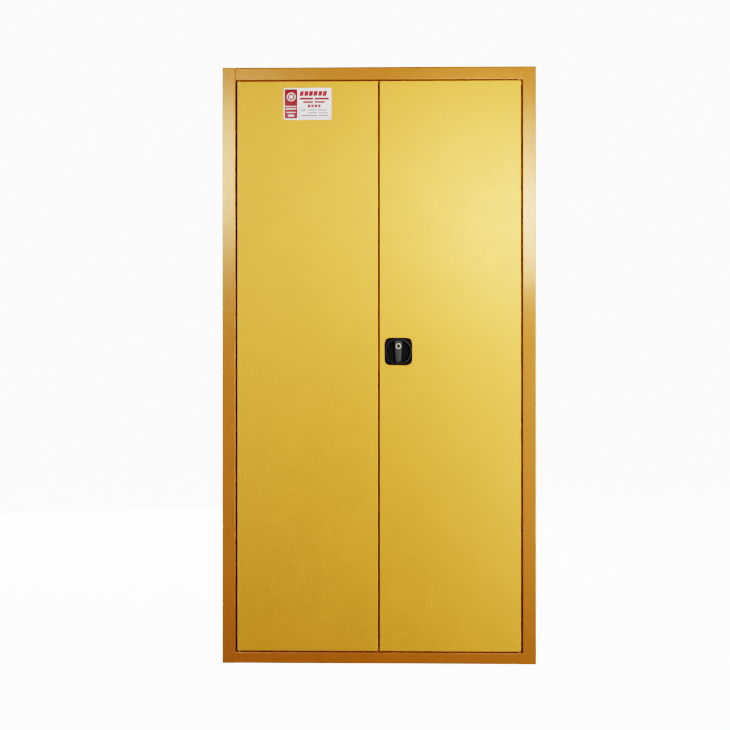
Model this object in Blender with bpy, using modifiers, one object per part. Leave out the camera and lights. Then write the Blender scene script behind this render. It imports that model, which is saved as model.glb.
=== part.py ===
"""Two-door steel storage cabinet with a recessed turn handle and a two-rod rack latch.

Frame: +X to the right seen from the front, +Y to the back, +Z up, in metres.
The origin is the middle of the bottom of the whole object. The doors are closed and unlatched.
"""

import math

import bmesh
import bpy
from mathutils import Vector

# Overall size
WIDTH = 1.000
DEPTH = 0.500
HEIGHT = 1.900
HANDLE_PROUD = 0.0075
FRONT = -(DEPTH - HANDLE_PROUD) / 2
BACK = FRONT + DEPTH
HALF_WIDTH = WIDTH / 2

# Sheet metal
SHEET = 0.0012
HEAVY_SHEET = 0.0015
CLEARANCE = 0.0003
BEND = 0.0025
BEND_STEPS = 3

# Front frame
STILE_WIDTH = 0.043
STILE_SIDE_RETURN = 0.030
STILE_JAMB_DEPTH = 0.028
STILE_LIP = 0.012
RAIL_TOP_HEIGHT = 0.041
RAIL_BOTTOM_HEIGHT = 0.036
RAIL_RETURN_DEPTH = 0.040
RAIL_OUTER_RETURN = 0.030
RAIL_LIP = 0.012
OPENING_BOTTOM = RAIL_BOTTOM_HEIGHT
OPENING_TOP = HEIGHT - RAIL_TOP_HEIGHT
OPENING_SIDE = HALF_WIDTH - STILE_WIDTH

# Doors
SIDE_GAP = 0.005
CENTRE_GAP = 0.005
END_GAP = 0.004
DOOR_BOTTOM = OPENING_BOTTOM + END_GAP
DOOR_TOP = OPENING_TOP - END_GAP
DOOR_DEPTH = 0.020
DOOR_LIP = 0.012
DOOR_EDGE_RADIUS = 0.002
DOOR_BACK = FRONT + DOOR_DEPTH
DOOR_OUTER_EDGE = OPENING_SIDE - SIDE_GAP
DOOR_INNER_EDGE = CENTRE_GAP / 2
DOOR_MIDDLE_X = (DOOR_OUTER_EDGE + DOOR_INNER_EDGE) / 2

# Door pivots
PIVOT_INSET = 0.0075
PIVOT_BEHIND_FACE = 0.006
PIVOT_X = DOOR_OUTER_EDGE - PIVOT_INSET
PIVOT_Y = FRONT + PIVOT_BEHIND_FACE
PIN_RADIUS = 0.0025
PIN_CHAMFER = 0.00075
PIN_REACH = 0.016
PIN_HEAD_RADIUS = 0.0036
PIN_HEAD_HEIGHT = 0.002
BUSH_BORE = 0.0028
BUSH_NECK_RADIUS = 0.0034
BUSH_COLLAR_RADIUS = 0.0044
BUSH_COLLAR_HEIGHT = 0.0032
BUSH_NECK_HEIGHT = 0.007
BUSH_HOLE = 0.0037
PIN_HOLE = 0.0028

# Stop lips behind the doors
STOP_Y = DOOR_BACK + 0.0055
STOP_HEIGHT = 0.014
STOP_FLANGE = 0.018
FLOOR_TOP = OPENING_BOTTOM + STOP_HEIGHT
FLOOR_BACK_FOLD = 0.020

# Slit that relieves the bends where the bottom rail meets the left stile
SLIT_LENGTH = 0.011
SLIT_WIDTH = 0.0016
SLIT_SLOPE = math.radians(40)

# Rubber buffers on the upper stop lip
BUFFER_X = 0.100
BUFFER_RADIUS = 0.005
BUFFER_DROP = 0.0078
BUFFER_CHAMFER = 0.0015

# Base channels under the floor
CHANNEL_WIDTH = 0.030

# Shelf uprights, brackets and shelves
UPRIGHT_WIDTH = 0.030
UPRIGHT_DEPTH = 0.012
UPRIGHT_FRONT_Y = FRONT + 0.085
UPRIGHT_REAR_Y = BACK - 0.065
UPRIGHT_TOP = HEIGHT - 0.010
SLOT_PITCH = 0.050
SLOT_WIDTH = 0.005
SLOT_HEIGHT = 0.014
FIRST_SLOT = FLOOR_TOP + 0.050
SLOT_COUNT = 35
SHELF_COUNT = 4
FIRST_SHELF_SLOT = 6
SLOTS_PER_SHELF = 7
BRACKET_HEIGHT = 0.030
BRACKET_LEDGE = 0.020
BRACKET_OVERHANG = 0.020
HOOK_THICKNESS = 0.0038
HOOK_NOSE_DROP = 0.005
HOOK_NOSE_HEIGHT = 0.012
HOOK_REACH = 0.0065
HOOK_NOSE_DEPTH = 0.0040
SHELF_HEIGHT = 0.025
SHELF_FRONT = FRONT + 0.060
SHELF_BACK = BACK - 0.012
SHELF_SIDE_GAP = 0.0008

# Turn handle
HANDLE_X = DOOR_INNER_EDGE + 0.060
HANDLE_Z = 0.994
PLATE_HALF = 0.044
PLATE_EXPONENT = 5.6
PLATE_POINTS = 56
PLATE_PROUD = 0.0045
PLATE_EDGE = 0.0030
PLATE_EDGE_STEPS = 3
DISH_RIM_RADIUS = 0.0385
DISH_RADIUS = 0.0365
DISH_WALL = 0.0015
DISH_DEPTH = 0.0075
DISH_FILLET = 0.003
DOOR_DISH_HOLE = 0.0388
ROUND_STEPS = 48
LEVER_TOP_WIDTH = 0.0245
LEVER_BOTTOM_WIDTH = 0.0163
LEVER_REACH = 0.0350
LEVER_FRONT = 0.0060
LEVER_THICKNESS = 0.0095
LEVER_EDGE = 0.0012
LEVER_EASED_ANGLE = math.radians(50)
SPINDLE_SIDE = 0.008
SPINDLE_HOLE = 0.0062
SPINDLE_START = 0.0038
SPINDLE_END = 0.0275
SQUARE_BORE = 0.0086

# Key lock in the lever
LOCK_OFFSET = 0.017
LOCK_BEZEL_RADIUS = 0.00925
LOCK_BEZEL_INNER = 0.0062
LOCK_BEZEL_HEIGHT = 0.0010
LOCK_BEZEL_CHAMFER = 0.0005
LOCK_PLUG_RADIUS = 0.0058
LOCK_PLUG_DEPTH = 0.0070
LOCK_BORE_RADIUS = 0.0062
KEYWAY_WIDTH = 0.0076
KEYWAY_HEIGHT = 0.0024
KEYWAY_DEPTH = 0.0050

# Rack and pinion latch
MODULE = 0.0015
TEETH = 17
PRESSURE_ANGLE = math.radians(20)
BACKLASH = 0.00030
PITCH_RADIUS = MODULE * TEETH / 2
ADDENDUM = MODULE
DEDENDUM = 1.25 * MODULE
FLANK_POINTS = 4
GEAR_THICKNESS = 0.006
GEAR_MIDDLE_DEPTH = 0.0135
ROD_WIDTH = 0.010
ROD_THICKNESS = 0.006
ROD_END_INSET = 0.0015
ROD_SLOT_CLEARANCE = 0.0005
ROD_END_TAPER = 0.0025
# A space of the odd-toothed pinion faces the top rod, and a tooth faces the bottom rod
RACK_PHASE = {"top": 0.0, "bottom": 0.5}
RACK_TEETH_BEFORE = 3
RACK_TEETH_AFTER = 7
ROD_MIDDLE_OFFSET = PITCH_RADIUS + DEDENDUM + ROD_WIDTH / 2
GUIDE_WIDTH = 0.024
GUIDE_HEIGHT = 0.014
GUIDE_DISTANCE = 0.060
GUIDE_DEPTH = 0.0170
ROD_GUIDE_DEPTH = 0.0185
CASE_WIDTH = 0.082
CASE_HEIGHT = 0.096
CASE_WEB_DEPTH = 0.0192
TONGUE_FRONT_DEPTH = 0.0225
TONGUE_THICKNESS = 0.003
TONGUE_LENGTH = 0.080
TONGUE_WIDTH = 0.020
TONGUE_CORNER = 0.006
ARC_STEPS = 10

# Left door fittings
LAP_WIDTH = 0.0155
LAP_TIP_GAP = 0.001
LAP_END_TOP = 0.025
LAP_END_BOTTOM = 0.034
BOLT_X = -(DOOR_INNER_EDGE + 0.032)
BOLT_RADIUS = 0.004
BOLT_LENGTH = 0.120
BOLT_DEPTH = 0.0120
BOLT_HOLE = 0.0046
BOLT_KNOB_RADIUS = 0.006
BOLT_KNOB_END = 0.034
BOLT_CHAMFER = 0.0012
BOLT_KNOB_THICKNESS = 0.008
BOLT_KNOB_UNDERCUT = 0.010
BOLT_KNOB_NECK = 0.003
BOLT_KNOB_SETBACK = 0.095
BOLT_STEPS = 16
LABEL_LEFT = -HALF_WIDTH + 0.197
LABEL_WIDTH = 0.152
LABEL_HEIGHT = 0.101
LABEL_TOP = HEIGHT - 0.067
LABEL_THICKNESS = 0.0005
LABEL_CORNER = 0.006
LABEL_STEPS = 4

# Door stiffeners
STIFFENER_WIDTH = 0.060
STIFFENER_FLANGE = 0.014
STIFFENER_DEPTH = 0.016
STIFFENER_END_GAP = 0.004

# Eased edges of blocks and plates
SHEET_EASE = 0.0003
GUIDE_EASE = 0.0008
SPINDLE_EASE = 0.0006

# Sizes of the cutting shapes
CUT_OVERRUN = 0.002
EDGE_CUT = 0.003
GUIDE_CUT = 0.010
SLOT_CUT = 0.004

EMPTY_SIZE = 0.03
UPRIGHT = (math.radians(90), 0.0, 0.0)


def clear_scene():
    for old in list(bpy.data.objects):
        bpy.data.objects.remove(old, do_unlink=True)


def collection(name):
    found = bpy.data.collections.get(name) or bpy.data.collections.new(name)
    if name not in bpy.context.scene.collection.children:
        bpy.context.scene.collection.children.link(found)
    return found


def material(name, colour, roughness, metallic):
    made = bpy.data.materials.get(name) or bpy.data.materials.new(name)
    made.use_nodes = True
    shader = made.node_tree.nodes["Principled BSDF"]
    shader.inputs["Base Color"].default_value = (*colour, 1.0)
    shader.inputs["Roughness"].default_value = roughness
    shader.inputs["Metallic"].default_value = metallic
    return made


clear_scene()
PARTS = collection("storage_cabinet")
CUTTERS = collection("cutters")

DOOR_PAINT = material("door_paint", (0.70, 0.42, 0.05), 0.42, 0.0)
FRAME_PAINT = material("frame_paint", (0.56, 0.27, 0.03), 0.30, 0.0)
INNER_PAINT = material("inner_paint", (0.60, 0.32, 0.04), 0.45, 0.0)
STEEL = material("zinc_steel", (0.62, 0.62, 0.60), 0.35, 1.0)
BLACK_PLASTIC = material("black_plastic", (0.012, 0.012, 0.013), 0.40, 0.0)
LEVER_PLASTIC = material("grey_plastic", (0.045, 0.045, 0.048), 0.45, 0.0)
CHROME = material("chrome", (0.80, 0.80, 0.80), 0.12, 1.0)
NYLON = material("white_nylon", (0.75, 0.73, 0.68), 0.50, 0.0)
BRASS = material("brass", (0.60, 0.40, 0.14), 0.35, 1.0)
RUBBER = material("rubber", (0.02, 0.02, 0.02), 0.80, 0.0)
LABEL_FILM = material("label_film", (0.80, 0.78, 0.74), 0.35, 0.0)


def empty(name, place, parent=None):
    """Joint frame: a pieceless point on the axis that its pieces turn or slide about."""
    made = bpy.data.objects.new(name, None)
    made.empty_display_size = EMPTY_SIZE
    PARTS.objects.link(made)
    put(made, place, parent)
    return made


def world_of(thing):
    place = Vector(thing.location)
    while thing.parent:
        thing = thing.parent
        place += thing.location
    return place


def put(thing, place, parent=None):
    """Place a thing at a world point, below its parent."""
    thing.parent = parent
    thing.location = Vector(place) - (world_of(parent) if parent else Vector())


def add_object(name, data, place, finish, parent=None, turn=(0.0, 0.0, 0.0)):
    made = bpy.data.objects.new(name, data)
    made.rotation_euler = turn
    put(made, place, parent)
    if finish is None:
        CUTTERS.objects.link(made)
        made.hide_render = True
        made.display_type = "WIRE"
    else:
        PARTS.objects.link(made)
        data.materials.append(finish)
    return made


def mesh_from(shape, name):
    mesh = bpy.data.meshes.new(name)
    shape.to_mesh(mesh)
    shape.free()
    return mesh


def block(name, low, high, finish, parent=None, edge=0.0):
    """Rectangular piece between two world corners, with its edges eased."""
    low, high = Vector(low), Vector(high)
    shape = bmesh.new()
    bmesh.ops.create_cube(shape, size=1.0)
    bmesh.ops.scale(shape, vec=high - low, verts=shape.verts)
    made = add_object(name, mesh_from(shape, name), (low + high) / 2, finish, parent)
    if edge:
        ease = made.modifiers.new("eased_edges", "BEVEL")
        ease.width = edge
        ease.segments = 1
    return made


def rounded_path(points, radius, steps=BEND_STEPS):
    """Open path whose inner corners are bent to a radius."""
    path = [Vector(points[0])]
    for before, corner, after in zip(points, points[1:], points[2:]):
        corner = Vector(corner)
        back = (Vector(before) - corner).normalized()
        on = (Vector(after) - corner).normalized()
        half = back.angle(on) / 2
        middle = corner + (back + on).normalized() * (radius / math.sin(half))
        first = corner + back * (radius / math.tan(half)) - middle
        sweep = math.pi - 2 * half
        if back.x * on.y - back.y * on.x > 0:
            sweep = -sweep
        for step in range(steps + 1):
            angle = sweep * step / steps
            turned_x = first.x * math.cos(angle) - first.y * math.sin(angle)
            turned_y = first.x * math.sin(angle) + first.y * math.cos(angle)
            path.append(middle + Vector((turned_x, turned_y)))
    path.append(Vector(points[-1]))
    return path


def mirrored(path):
    """The same path on the other side, walked so that its material side stays inside."""
    return [(-across, up) for across, up in reversed(path)]


PLANES = {
    "X": lambda across, up: Vector((0.0, across, up)),
    "Y": lambda across, up: Vector((across, 0.0, up)),
    "Z": lambda across, up: Vector((across, up, 0.0)),
}
AXES = {"X": Vector((1, 0, 0)), "Y": Vector((0, 1, 0)), "Z": Vector((0, 0, 1))}


def folded_sheet(name, points, along, start, end, finish, parent=None, sheet=SHEET, bend=BEND):
    """Bent sheet: its outer face follows a path across one axis, its metal on the path's left."""
    path = rounded_path(points, bend)
    plane = PLANES[along]
    origin = world_of(parent) if parent else AXES[along] * start
    shape = bmesh.new()
    corners = [shape.verts.new(plane(*point) + AXES[along] * start - origin) for point in path]
    edges = [shape.edges.new(pair) for pair in zip(corners, corners[1:])]
    grown = bmesh.ops.extrude_edge_only(shape, edges=edges)["geom"]
    far = [item for item in grown if isinstance(item, bmesh.types.BMVert)]
    bmesh.ops.translate(shape, vec=AXES[along] * (end - start), verts=far)
    shape.normal_update()
    run = path[1] - path[0]
    if edges[0].link_faces[0].normal.dot(plane(run.y, -run.x)) < 0:
        bmesh.ops.reverse_faces(shape, faces=shape.faces)
    made = add_object(name, mesh_from(shape, name), origin, finish, parent)
    thicken(made, sheet)
    return made


def thicken(piece, sheet):
    shell = piece.modifiers.new("sheet", "SOLIDIFY")
    shell.thickness = sheet
    shell.offset = -1.0
    shell.use_even_offset = True


def pan(name, low, high, open_side, lip, finish, parent=None, sheet=SHEET, radius=DOOR_EDGE_RADIUS):
    """Tray folded from sheet: a face, four sides and, where lip is set, a return lip on each side."""
    low, high = Vector(low), Vector(high)
    shape = bmesh.new()
    bmesh.ops.create_cube(shape, size=1.0)
    bmesh.ops.scale(shape, vec=high - low, verts=shape.verts)
    shape.normal_update()
    mouth = max(shape.faces, key=lambda face: face.normal.dot(open_side))
    rounded = [edge for edge in shape.edges if edge not in list(mouth.edges)]
    if lip:
        bmesh.ops.inset_region(shape, faces=[mouth], thickness=lip)
    bmesh.ops.delete(shape, geom=[mouth], context="FACES_ONLY")
    bmesh.ops.bevel(
        shape, geom=rounded, offset=radius, segments=BEND_STEPS, affect="EDGES", profile=0.5
    )
    made = add_object(name, mesh_from(shape, name), (low + high) / 2, finish, parent)
    thicken(made, sheet)
    return made


def turned(name, profile, place, finish, parent=None, turn=(0, 0, 0), steps=16, ring=False):
    """Turned piece: radius and height points, top to bottom on the outer side, spun about Z."""
    shape = bmesh.new()
    corners = [shape.verts.new((radius, 0.0, height)) for radius, height in profile]
    pairs = list(zip(corners, corners[1:]))
    if ring:
        pairs.append((corners[-1], corners[0]))
    for pair in pairs:
        shape.edges.new(pair)
    made = add_object(name, mesh_from(shape, name), place, finish, parent, turn)
    spin = made.modifiers.new("spin", "SCREW")
    spin.steps = steps
    spin.render_steps = steps
    spin.use_merge_vertices = True
    spin.merge_threshold = 0.00001
    return made


def rod_profile(radius, top, bottom):
    return [(0.0, top), (radius, top), (radius, bottom), (0.0, bottom)]


def flat_piece(name, loops, thickness, place, finish, parent=None, turn=UPRIGHT):
    """Plate cut to an outline; further loops are its holes."""
    outline = bpy.data.curves.new(name, "CURVE")
    outline.dimensions = "2D"
    outline.fill_mode = "BOTH"
    outline.extrude = thickness / 2
    for loop in loops:
        spline = outline.splines.new("POLY")
        spline.points.add(len(loop) - 1)
        for point, (across, up) in zip(spline.points, loop):
            point.co = (across, up, 0.0, 1.0)
        spline.use_cyclic_u = True
    return add_object(name, outline, place, finish, parent, turn)


def as_mesh(piece, finish):
    """The same piece as a mesh, which a Boolean can cut or join."""
    bpy.context.view_layer.update()
    evaluated = piece.evaluated_get(bpy.context.evaluated_depsgraph_get())
    mesh = bpy.data.meshes.new_from_object(evaluated)
    shape = bmesh.new()
    shape.from_mesh(mesh)
    bmesh.ops.remove_doubles(shape, verts=shape.verts, dist=0.000001)
    shape.to_mesh(mesh)
    shape.free()
    name, place, parent, turn = piece.name, world_of(piece), piece.parent, piece.rotation_euler[:]
    mesh.materials.clear()
    bpy.data.objects.remove(piece, do_unlink=True)
    return add_object(name, mesh, place, finish, parent, turn)


def soften_front(piece, width, steps):
    """Round the rim of a flat piece's front face."""
    shape = bmesh.new()
    shape.from_mesh(piece.data)
    bmesh.ops.dissolve_limit(shape, angle_limit=math.radians(0.5), verts=[], edges=shape.edges)
    front = max(vertex.co.z for vertex in shape.verts)
    rim = [edge for edge in shape.edges if all(abs(end.co.z - front) < 1e-6 for end in edge.verts)]
    bmesh.ops.bevel(shape, geom=rim, offset=width, segments=steps, affect="EDGES", profile=0.5)
    shape.to_mesh(piece.data)
    shape.free()


def combine(piece, other, operation):
    step = piece.modifiers.new(other.name, "BOOLEAN")
    step.operation = operation
    step.object = other
    step.solver = "EXACT"


def cut(piece, *cutters):
    for cutter in cutters:
        combine(piece, cutter, "DIFFERENCE")


def join(piece, *others):
    for other in others:
        combine(piece, other, "UNION")


def smooth(piece, angle=35):
    """Round faces shade smooth and folds stay crisp."""
    if piece.type == "MESH":
        piece.data.shade_smooth()
        piece.data.set_sharp_from_angle(angle=math.radians(angle))


def round_cutter(name, radius, x, y, low, high, steps=16):
    return turned(name, rod_profile(radius, high - low, 0.0), (x, y, low), None, steps=steps)


def slot_cutter(name, x, y, wide, deep, low, high):
    return block(name, (x - wide / 2, y - deep / 2, low), (x + wide / 2, y + deep / 2, high), None)


# ---------------------------------------------------------------- carcass


def build_walls():
    side_front = FRONT + STILE_SIDE_RETURN + CLEARANCE
    wall_top = HEIGHT - HEAVY_SHEET - CLEARANCE
    for side, name in ((-1, "side_panel_left"), (1, "side_panel_right")):
        outer, inner = side * HALF_WIDTH, side * (HALF_WIDTH - SHEET)
        low = (min(outer, inner), side_front, 0.0)
        high = (max(outer, inner), BACK - SHEET - CLEARANCE, wall_top)
        block(name, low, high, FRAME_PAINT)
    block("back_panel", (-HALF_WIDTH, BACK - SHEET, 0.0), (HALF_WIDTH, BACK, wall_top), FRAME_PAINT)
    top_low = (-HALF_WIDTH, FRONT, HEIGHT - HEAVY_SHEET)
    block("top_panel", top_low, (HALF_WIDTH, BACK, HEIGHT), FRAME_PAINT, edge=SHEET_EASE)


def build_floor():
    inside = HALF_WIDTH - SHEET - CLEARANCE
    rear = BACK - SHEET - CLEARANCE
    path = [
        (rear, FLOOR_TOP - FLOOR_BACK_FOLD),
        (rear, FLOOR_TOP),
        (STOP_Y, FLOOR_TOP),
        (STOP_Y, OPENING_BOTTOM + CLEARANCE),
    ]
    jamb_clear = OPENING_SIDE - SHEET - CLEARANCE
    floor = folded_sheet("floor_panel", path, "X", -inside, inside, INNER_PAINT)
    for side in (-1, 1):
        notch = block(
            f"floor_notch_{side}",
            (min(side * jamb_clear, side * (inside + CUT_OVERRUN)), STOP_Y - CUT_OVERRUN, 0.0),
            (
                max(side * jamb_clear, side * (inside + CUT_OVERRUN)),
                FRONT + STILE_SIDE_RETURN + CUT_OVERRUN,
                FLOOR_TOP + CUT_OVERRUN,
            ),
            None,
        )
        cut(floor, notch)
    for side, name in ((-1, "base_channel_left"), (1, "base_channel_right")):
        outer = HALF_WIDTH - SHEET - CLEARANCE
        top = FLOOR_TOP - SHEET - CLEARANCE
        path = [
            (-outer + CHANNEL_WIDTH, top),
            (-outer, top),
            (-outer, 0.0),
            (-outer + CHANNEL_WIDTH, 0.0),
        ]
        if side > 0:
            path = mirrored(path)
        front = FRONT + RAIL_RETURN_DEPTH + CLEARANCE
        rear_end = rear - BEND - CLEARANCE
        folded_sheet(name, path, "Y", front, rear_end, FRAME_PAINT)


def build_front_frame():
    top = HEIGHT - HEAVY_SHEET - CLEARANCE
    path = [
        (-HALF_WIDTH, FRONT + STILE_SIDE_RETURN),
        (-HALF_WIDTH, FRONT),
        (-OPENING_SIDE, FRONT),
        (-OPENING_SIDE, FRONT + STILE_JAMB_DEPTH),
        (-OPENING_SIDE - STILE_LIP, FRONT + STILE_JAMB_DEPTH),
    ]
    folded_sheet("frame_stile_left", path, "Z", 0.0, top, FRAME_PAINT)
    folded_sheet("frame_stile_right", mirrored(path), "Z", 0.0, top, FRAME_PAINT)

    reach = OPENING_SIDE - CLEARANCE
    path = [
        (FRONT + RAIL_OUTER_RETURN, top),
        (FRONT, top),
        (FRONT, OPENING_TOP),
        (FRONT + RAIL_RETURN_DEPTH, OPENING_TOP),
        (FRONT + RAIL_RETURN_DEPTH, OPENING_TOP + RAIL_LIP),
    ]
    upper = folded_sheet("frame_rail_top", path, "X", -reach, reach, FRAME_PAINT)
    path = [
        (FRONT + RAIL_RETURN_DEPTH, OPENING_BOTTOM - RAIL_LIP),
        (FRONT + RAIL_RETURN_DEPTH, OPENING_BOTTOM),
        (FRONT, OPENING_BOTTOM),
        (FRONT, 0.0),
        (FRONT + RAIL_OUTER_RETURN, 0.0),
    ]
    lower = folded_sheet("frame_rail_bottom", path, "X", -reach, reach, FRAME_PAINT)
    stop_path = [
        (STOP_Y + STOP_FLANGE, OPENING_TOP - CLEARANCE),
        (STOP_Y, OPENING_TOP - CLEARANCE),
        (STOP_Y, OPENING_TOP - STOP_HEIGHT),
    ]
    folded_sheet("door_stop_top", stop_path, "X", -reach, reach, FRAME_PAINT)
    slit = block(
        "relief_slit",
        (-SLIT_LENGTH, -CUT_OVERRUN, -SLIT_WIDTH / 2),
        (SLIT_LENGTH, SHEET + CUT_OVERRUN, SLIT_WIDTH / 2),
        None,
    )
    slit.location = (-reach, FRONT, OPENING_BOTTOM)
    slit.rotation_euler = (0.0, SLIT_SLOPE, 0.0)
    cut(lower, slit)
    for side, word in ((-1, "left"), (1, "right")):
        build_buffer(side, word)
    return upper, lower


def build_buffer(side, word):
    """Rubber pad that a closing door lands on."""
    reach = STOP_Y - DOOR_BACK - 2 * CLEARANCE
    profile = [
        (0.0, reach),
        (BUFFER_RADIUS - BUFFER_CHAMFER, reach),
        (BUFFER_RADIUS, reach - BUFFER_CHAMFER),
        (BUFFER_RADIUS, 0.0),
        (0.0, 0.0),
    ]
    place = (side * BUFFER_X, STOP_Y - CLEARANCE, OPENING_TOP - BUFFER_DROP)
    smooth(turned(f"door_buffer_{word}", profile, place, RUBBER, turn=UPRIGHT, steps=ROUND_STEPS // 2))


def drill_rail(rail, level, end):
    """Pivot pin, lock rod and door bolt holes through a rail's return."""
    low, high = level - CUT_OVERRUN, level + CUT_OVERRUN
    for side in (-1, 1):
        cut(rail, round_cutter(f"pin_hole_{end}_{side}", PIN_HOLE, side * PIVOT_X, PIVOT_Y, low, high))
    wide = ROD_WIDTH + 2 * ROD_SLOT_CLEARANCE
    deep = ROD_THICKNESS + 2 * ROD_SLOT_CLEARANCE
    rod_y = FRONT + GEAR_MIDDLE_DEPTH
    cut(rail, slot_cutter(f"rod_strike_{end}", rod_x(end), rod_y, wide, deep, low, high))
    bolt_y = FRONT + BOLT_DEPTH
    cut(rail, round_cutter(f"bolt_strike_{end}", BOLT_HOLE, BOLT_X, bolt_y, low, high))


def rod_x(end):
    return HANDLE_X + (-ROD_MIDDLE_OFFSET if end == "top" else ROD_MIDDLE_OFFSET)


# ---------------------------------------------------------------- shelving


def shelf_slot_level(index):
    return FIRST_SLOT + SLOT_PITCH * (FIRST_SHELF_SLOT + SLOTS_PER_SHELF * index)


def build_upright(side, front_y, name):
    outer = HALF_WIDTH - SHEET - CLEARANCE
    face = outer - UPRIGHT_DEPTH
    path = [
        (-outer, front_y),
        (-face, front_y),
        (-face, front_y + UPRIGHT_WIDTH),
        (-outer, front_y + UPRIGHT_WIDTH),
    ]
    if side > 0:
        path = mirrored(path)
    low = FLOOR_TOP + CLEARANCE
    strip = folded_sheet(name, path, "Z", low, UPRIGHT_TOP, INNER_PAINT, sheet=HEAVY_SHEET)
    middle_y = front_y + UPRIGHT_WIDTH / 2
    slots = block(
        f"{name}_slots",
        (side * face - SLOT_CUT, middle_y - SLOT_WIDTH / 2, FIRST_SLOT - SLOT_HEIGHT / 2),
        (side * face + SLOT_CUT, middle_y + SLOT_WIDTH / 2, FIRST_SLOT + SLOT_HEIGHT / 2),
        None,
    )
    row = slots.modifiers.new("slot_row", "ARRAY")
    row.count = SLOT_COUNT
    row.use_relative_offset = False
    row.use_constant_offset = True
    row.constant_offset_displace = (0.0, 0.0, SLOT_PITCH)
    cut(strip, slots)


def build_bracket(side, index, name):
    """Ledge that hooks into a slot of the front and the rear upright."""
    face = HALF_WIDTH - SHEET - CLEARANCE - UPRIGHT_DEPTH - CLEARANCE
    slot = shelf_slot_level(index)
    base = slot - BRACKET_HEIGHT / 2
    path = [
        (-face, base + BRACKET_HEIGHT),
        (-face, base),
        (-face + BRACKET_LEDGE, base),
    ]
    if side > 0:
        path = mirrored(path)
    start = UPRIGHT_FRONT_Y - BRACKET_OVERHANG
    end = UPRIGHT_REAR_Y + UPRIGHT_WIDTH + BRACKET_OVERHANG
    bar = folded_sheet(name, path, "Y", start, end, INNER_PAINT, sheet=HEAVY_SHEET)
    lug_low = slot - SLOT_HEIGHT / 2 + CLEARANCE
    nose_low = lug_low - HOOK_NOSE_DROP
    top = nose_low + HOOK_NOSE_HEIGHT
    root = -(face - HEAVY_SHEET / 2)
    throat = -(face + HOOK_REACH - HOOK_NOSE_DEPTH)
    tip = -(face + HOOK_REACH)
    hook = [
        (root, top),
        (tip, top),
        (tip, nose_low),
        (throat, nose_low),
        (throat, lug_low),
        (root, lug_low),
    ]
    if side > 0:
        hook = mirrored(hook)
    for where, middle in (("front", UPRIGHT_FRONT_Y), ("rear", UPRIGHT_REAR_Y)):
        place = (0.0, middle + UPRIGHT_WIDTH / 2, 0.0)
        lug = flat_piece(f"{name}_hook_{where}", [hook], HOOK_THICKNESS, place, None)
        join(bar, as_mesh(lug, None))


def build_shelves():
    for side, word in ((-1, "left"), (1, "right")):
        build_upright(side, UPRIGHT_FRONT_Y, f"shelf_upright_front_{word}")
        build_upright(side, UPRIGHT_REAR_Y, f"shelf_upright_rear_{word}")
        for index in range(SHELF_COUNT):
            build_bracket(side, index, f"shelf_bracket_{word}_{index + 1}")
    reach = HALF_WIDTH - SHEET - 2 * CLEARANCE - UPRIGHT_DEPTH - HEAVY_SHEET - SHELF_SIDE_GAP
    for index in range(SHELF_COUNT):
        low = shelf_slot_level(index) - BRACKET_HEIGHT / 2 + HEAVY_SHEET + CLEARANCE
        pan(
            f"shelf_{index + 1}",
            (-reach, SHELF_FRONT, low),
            (reach, SHELF_BACK, low + SHELF_HEIGHT),
            Vector((0, 0, -1)),
            0.0,
            INNER_PAINT,
        )


# ---------------------------------------------------------------- doors


def build_pivot(side, end, door):
    """Pin riveted in the rail's return, and the flanged bush in the door's edge that turns on it."""
    word = "left" if side < 0 else "right"
    up = 1 if end == "bottom" else -1
    level = OPENING_BOTTOM if end == "bottom" else OPENING_TOP
    flip = (0.0, 0.0, 0.0) if end == "bottom" else (math.pi, 0.0, 0.0)
    place = (side * PIVOT_X, PIVOT_Y, level)
    head = -SHEET - CLEARANCE
    pin = [
        (0.0, PIN_REACH),
        (PIN_RADIUS - PIN_CHAMFER, PIN_REACH),
        (PIN_RADIUS, PIN_REACH - PIN_CHAMFER),
        (PIN_RADIUS, head),
        (PIN_HEAD_RADIUS, head),
        (PIN_HEAD_RADIUS, head - PIN_HEAD_HEIGHT),
        (0.0, head - PIN_HEAD_HEIGHT),
    ]
    smooth(turned(f"hinge_pin_{word}_{end}", pin, place, STEEL, turn=flip))
    foot = END_GAP - CLEARANCE
    bush = [
        (BUSH_BORE, foot + BUSH_NECK_HEIGHT),
        (BUSH_NECK_RADIUS, foot + BUSH_NECK_HEIGHT),
        (BUSH_NECK_RADIUS, foot),
        (BUSH_COLLAR_RADIUS, foot),
        (BUSH_COLLAR_RADIUS, foot - BUSH_COLLAR_HEIGHT),
        (BUSH_BORE, foot - BUSH_COLLAR_HEIGHT),
    ]
    name = f"hinge_bush_{word}_{end}"
    smooth(turned(name, bush, place, BRASS, parent=door, turn=flip, ring=True))
    low = level + up * END_GAP - EDGE_CUT
    name = f"bush_hole_{word}_{end}"
    return round_cutter(name, BUSH_HOLE, side * PIVOT_X, PIVOT_Y, low, low + 2 * EDGE_CUT)


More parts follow.
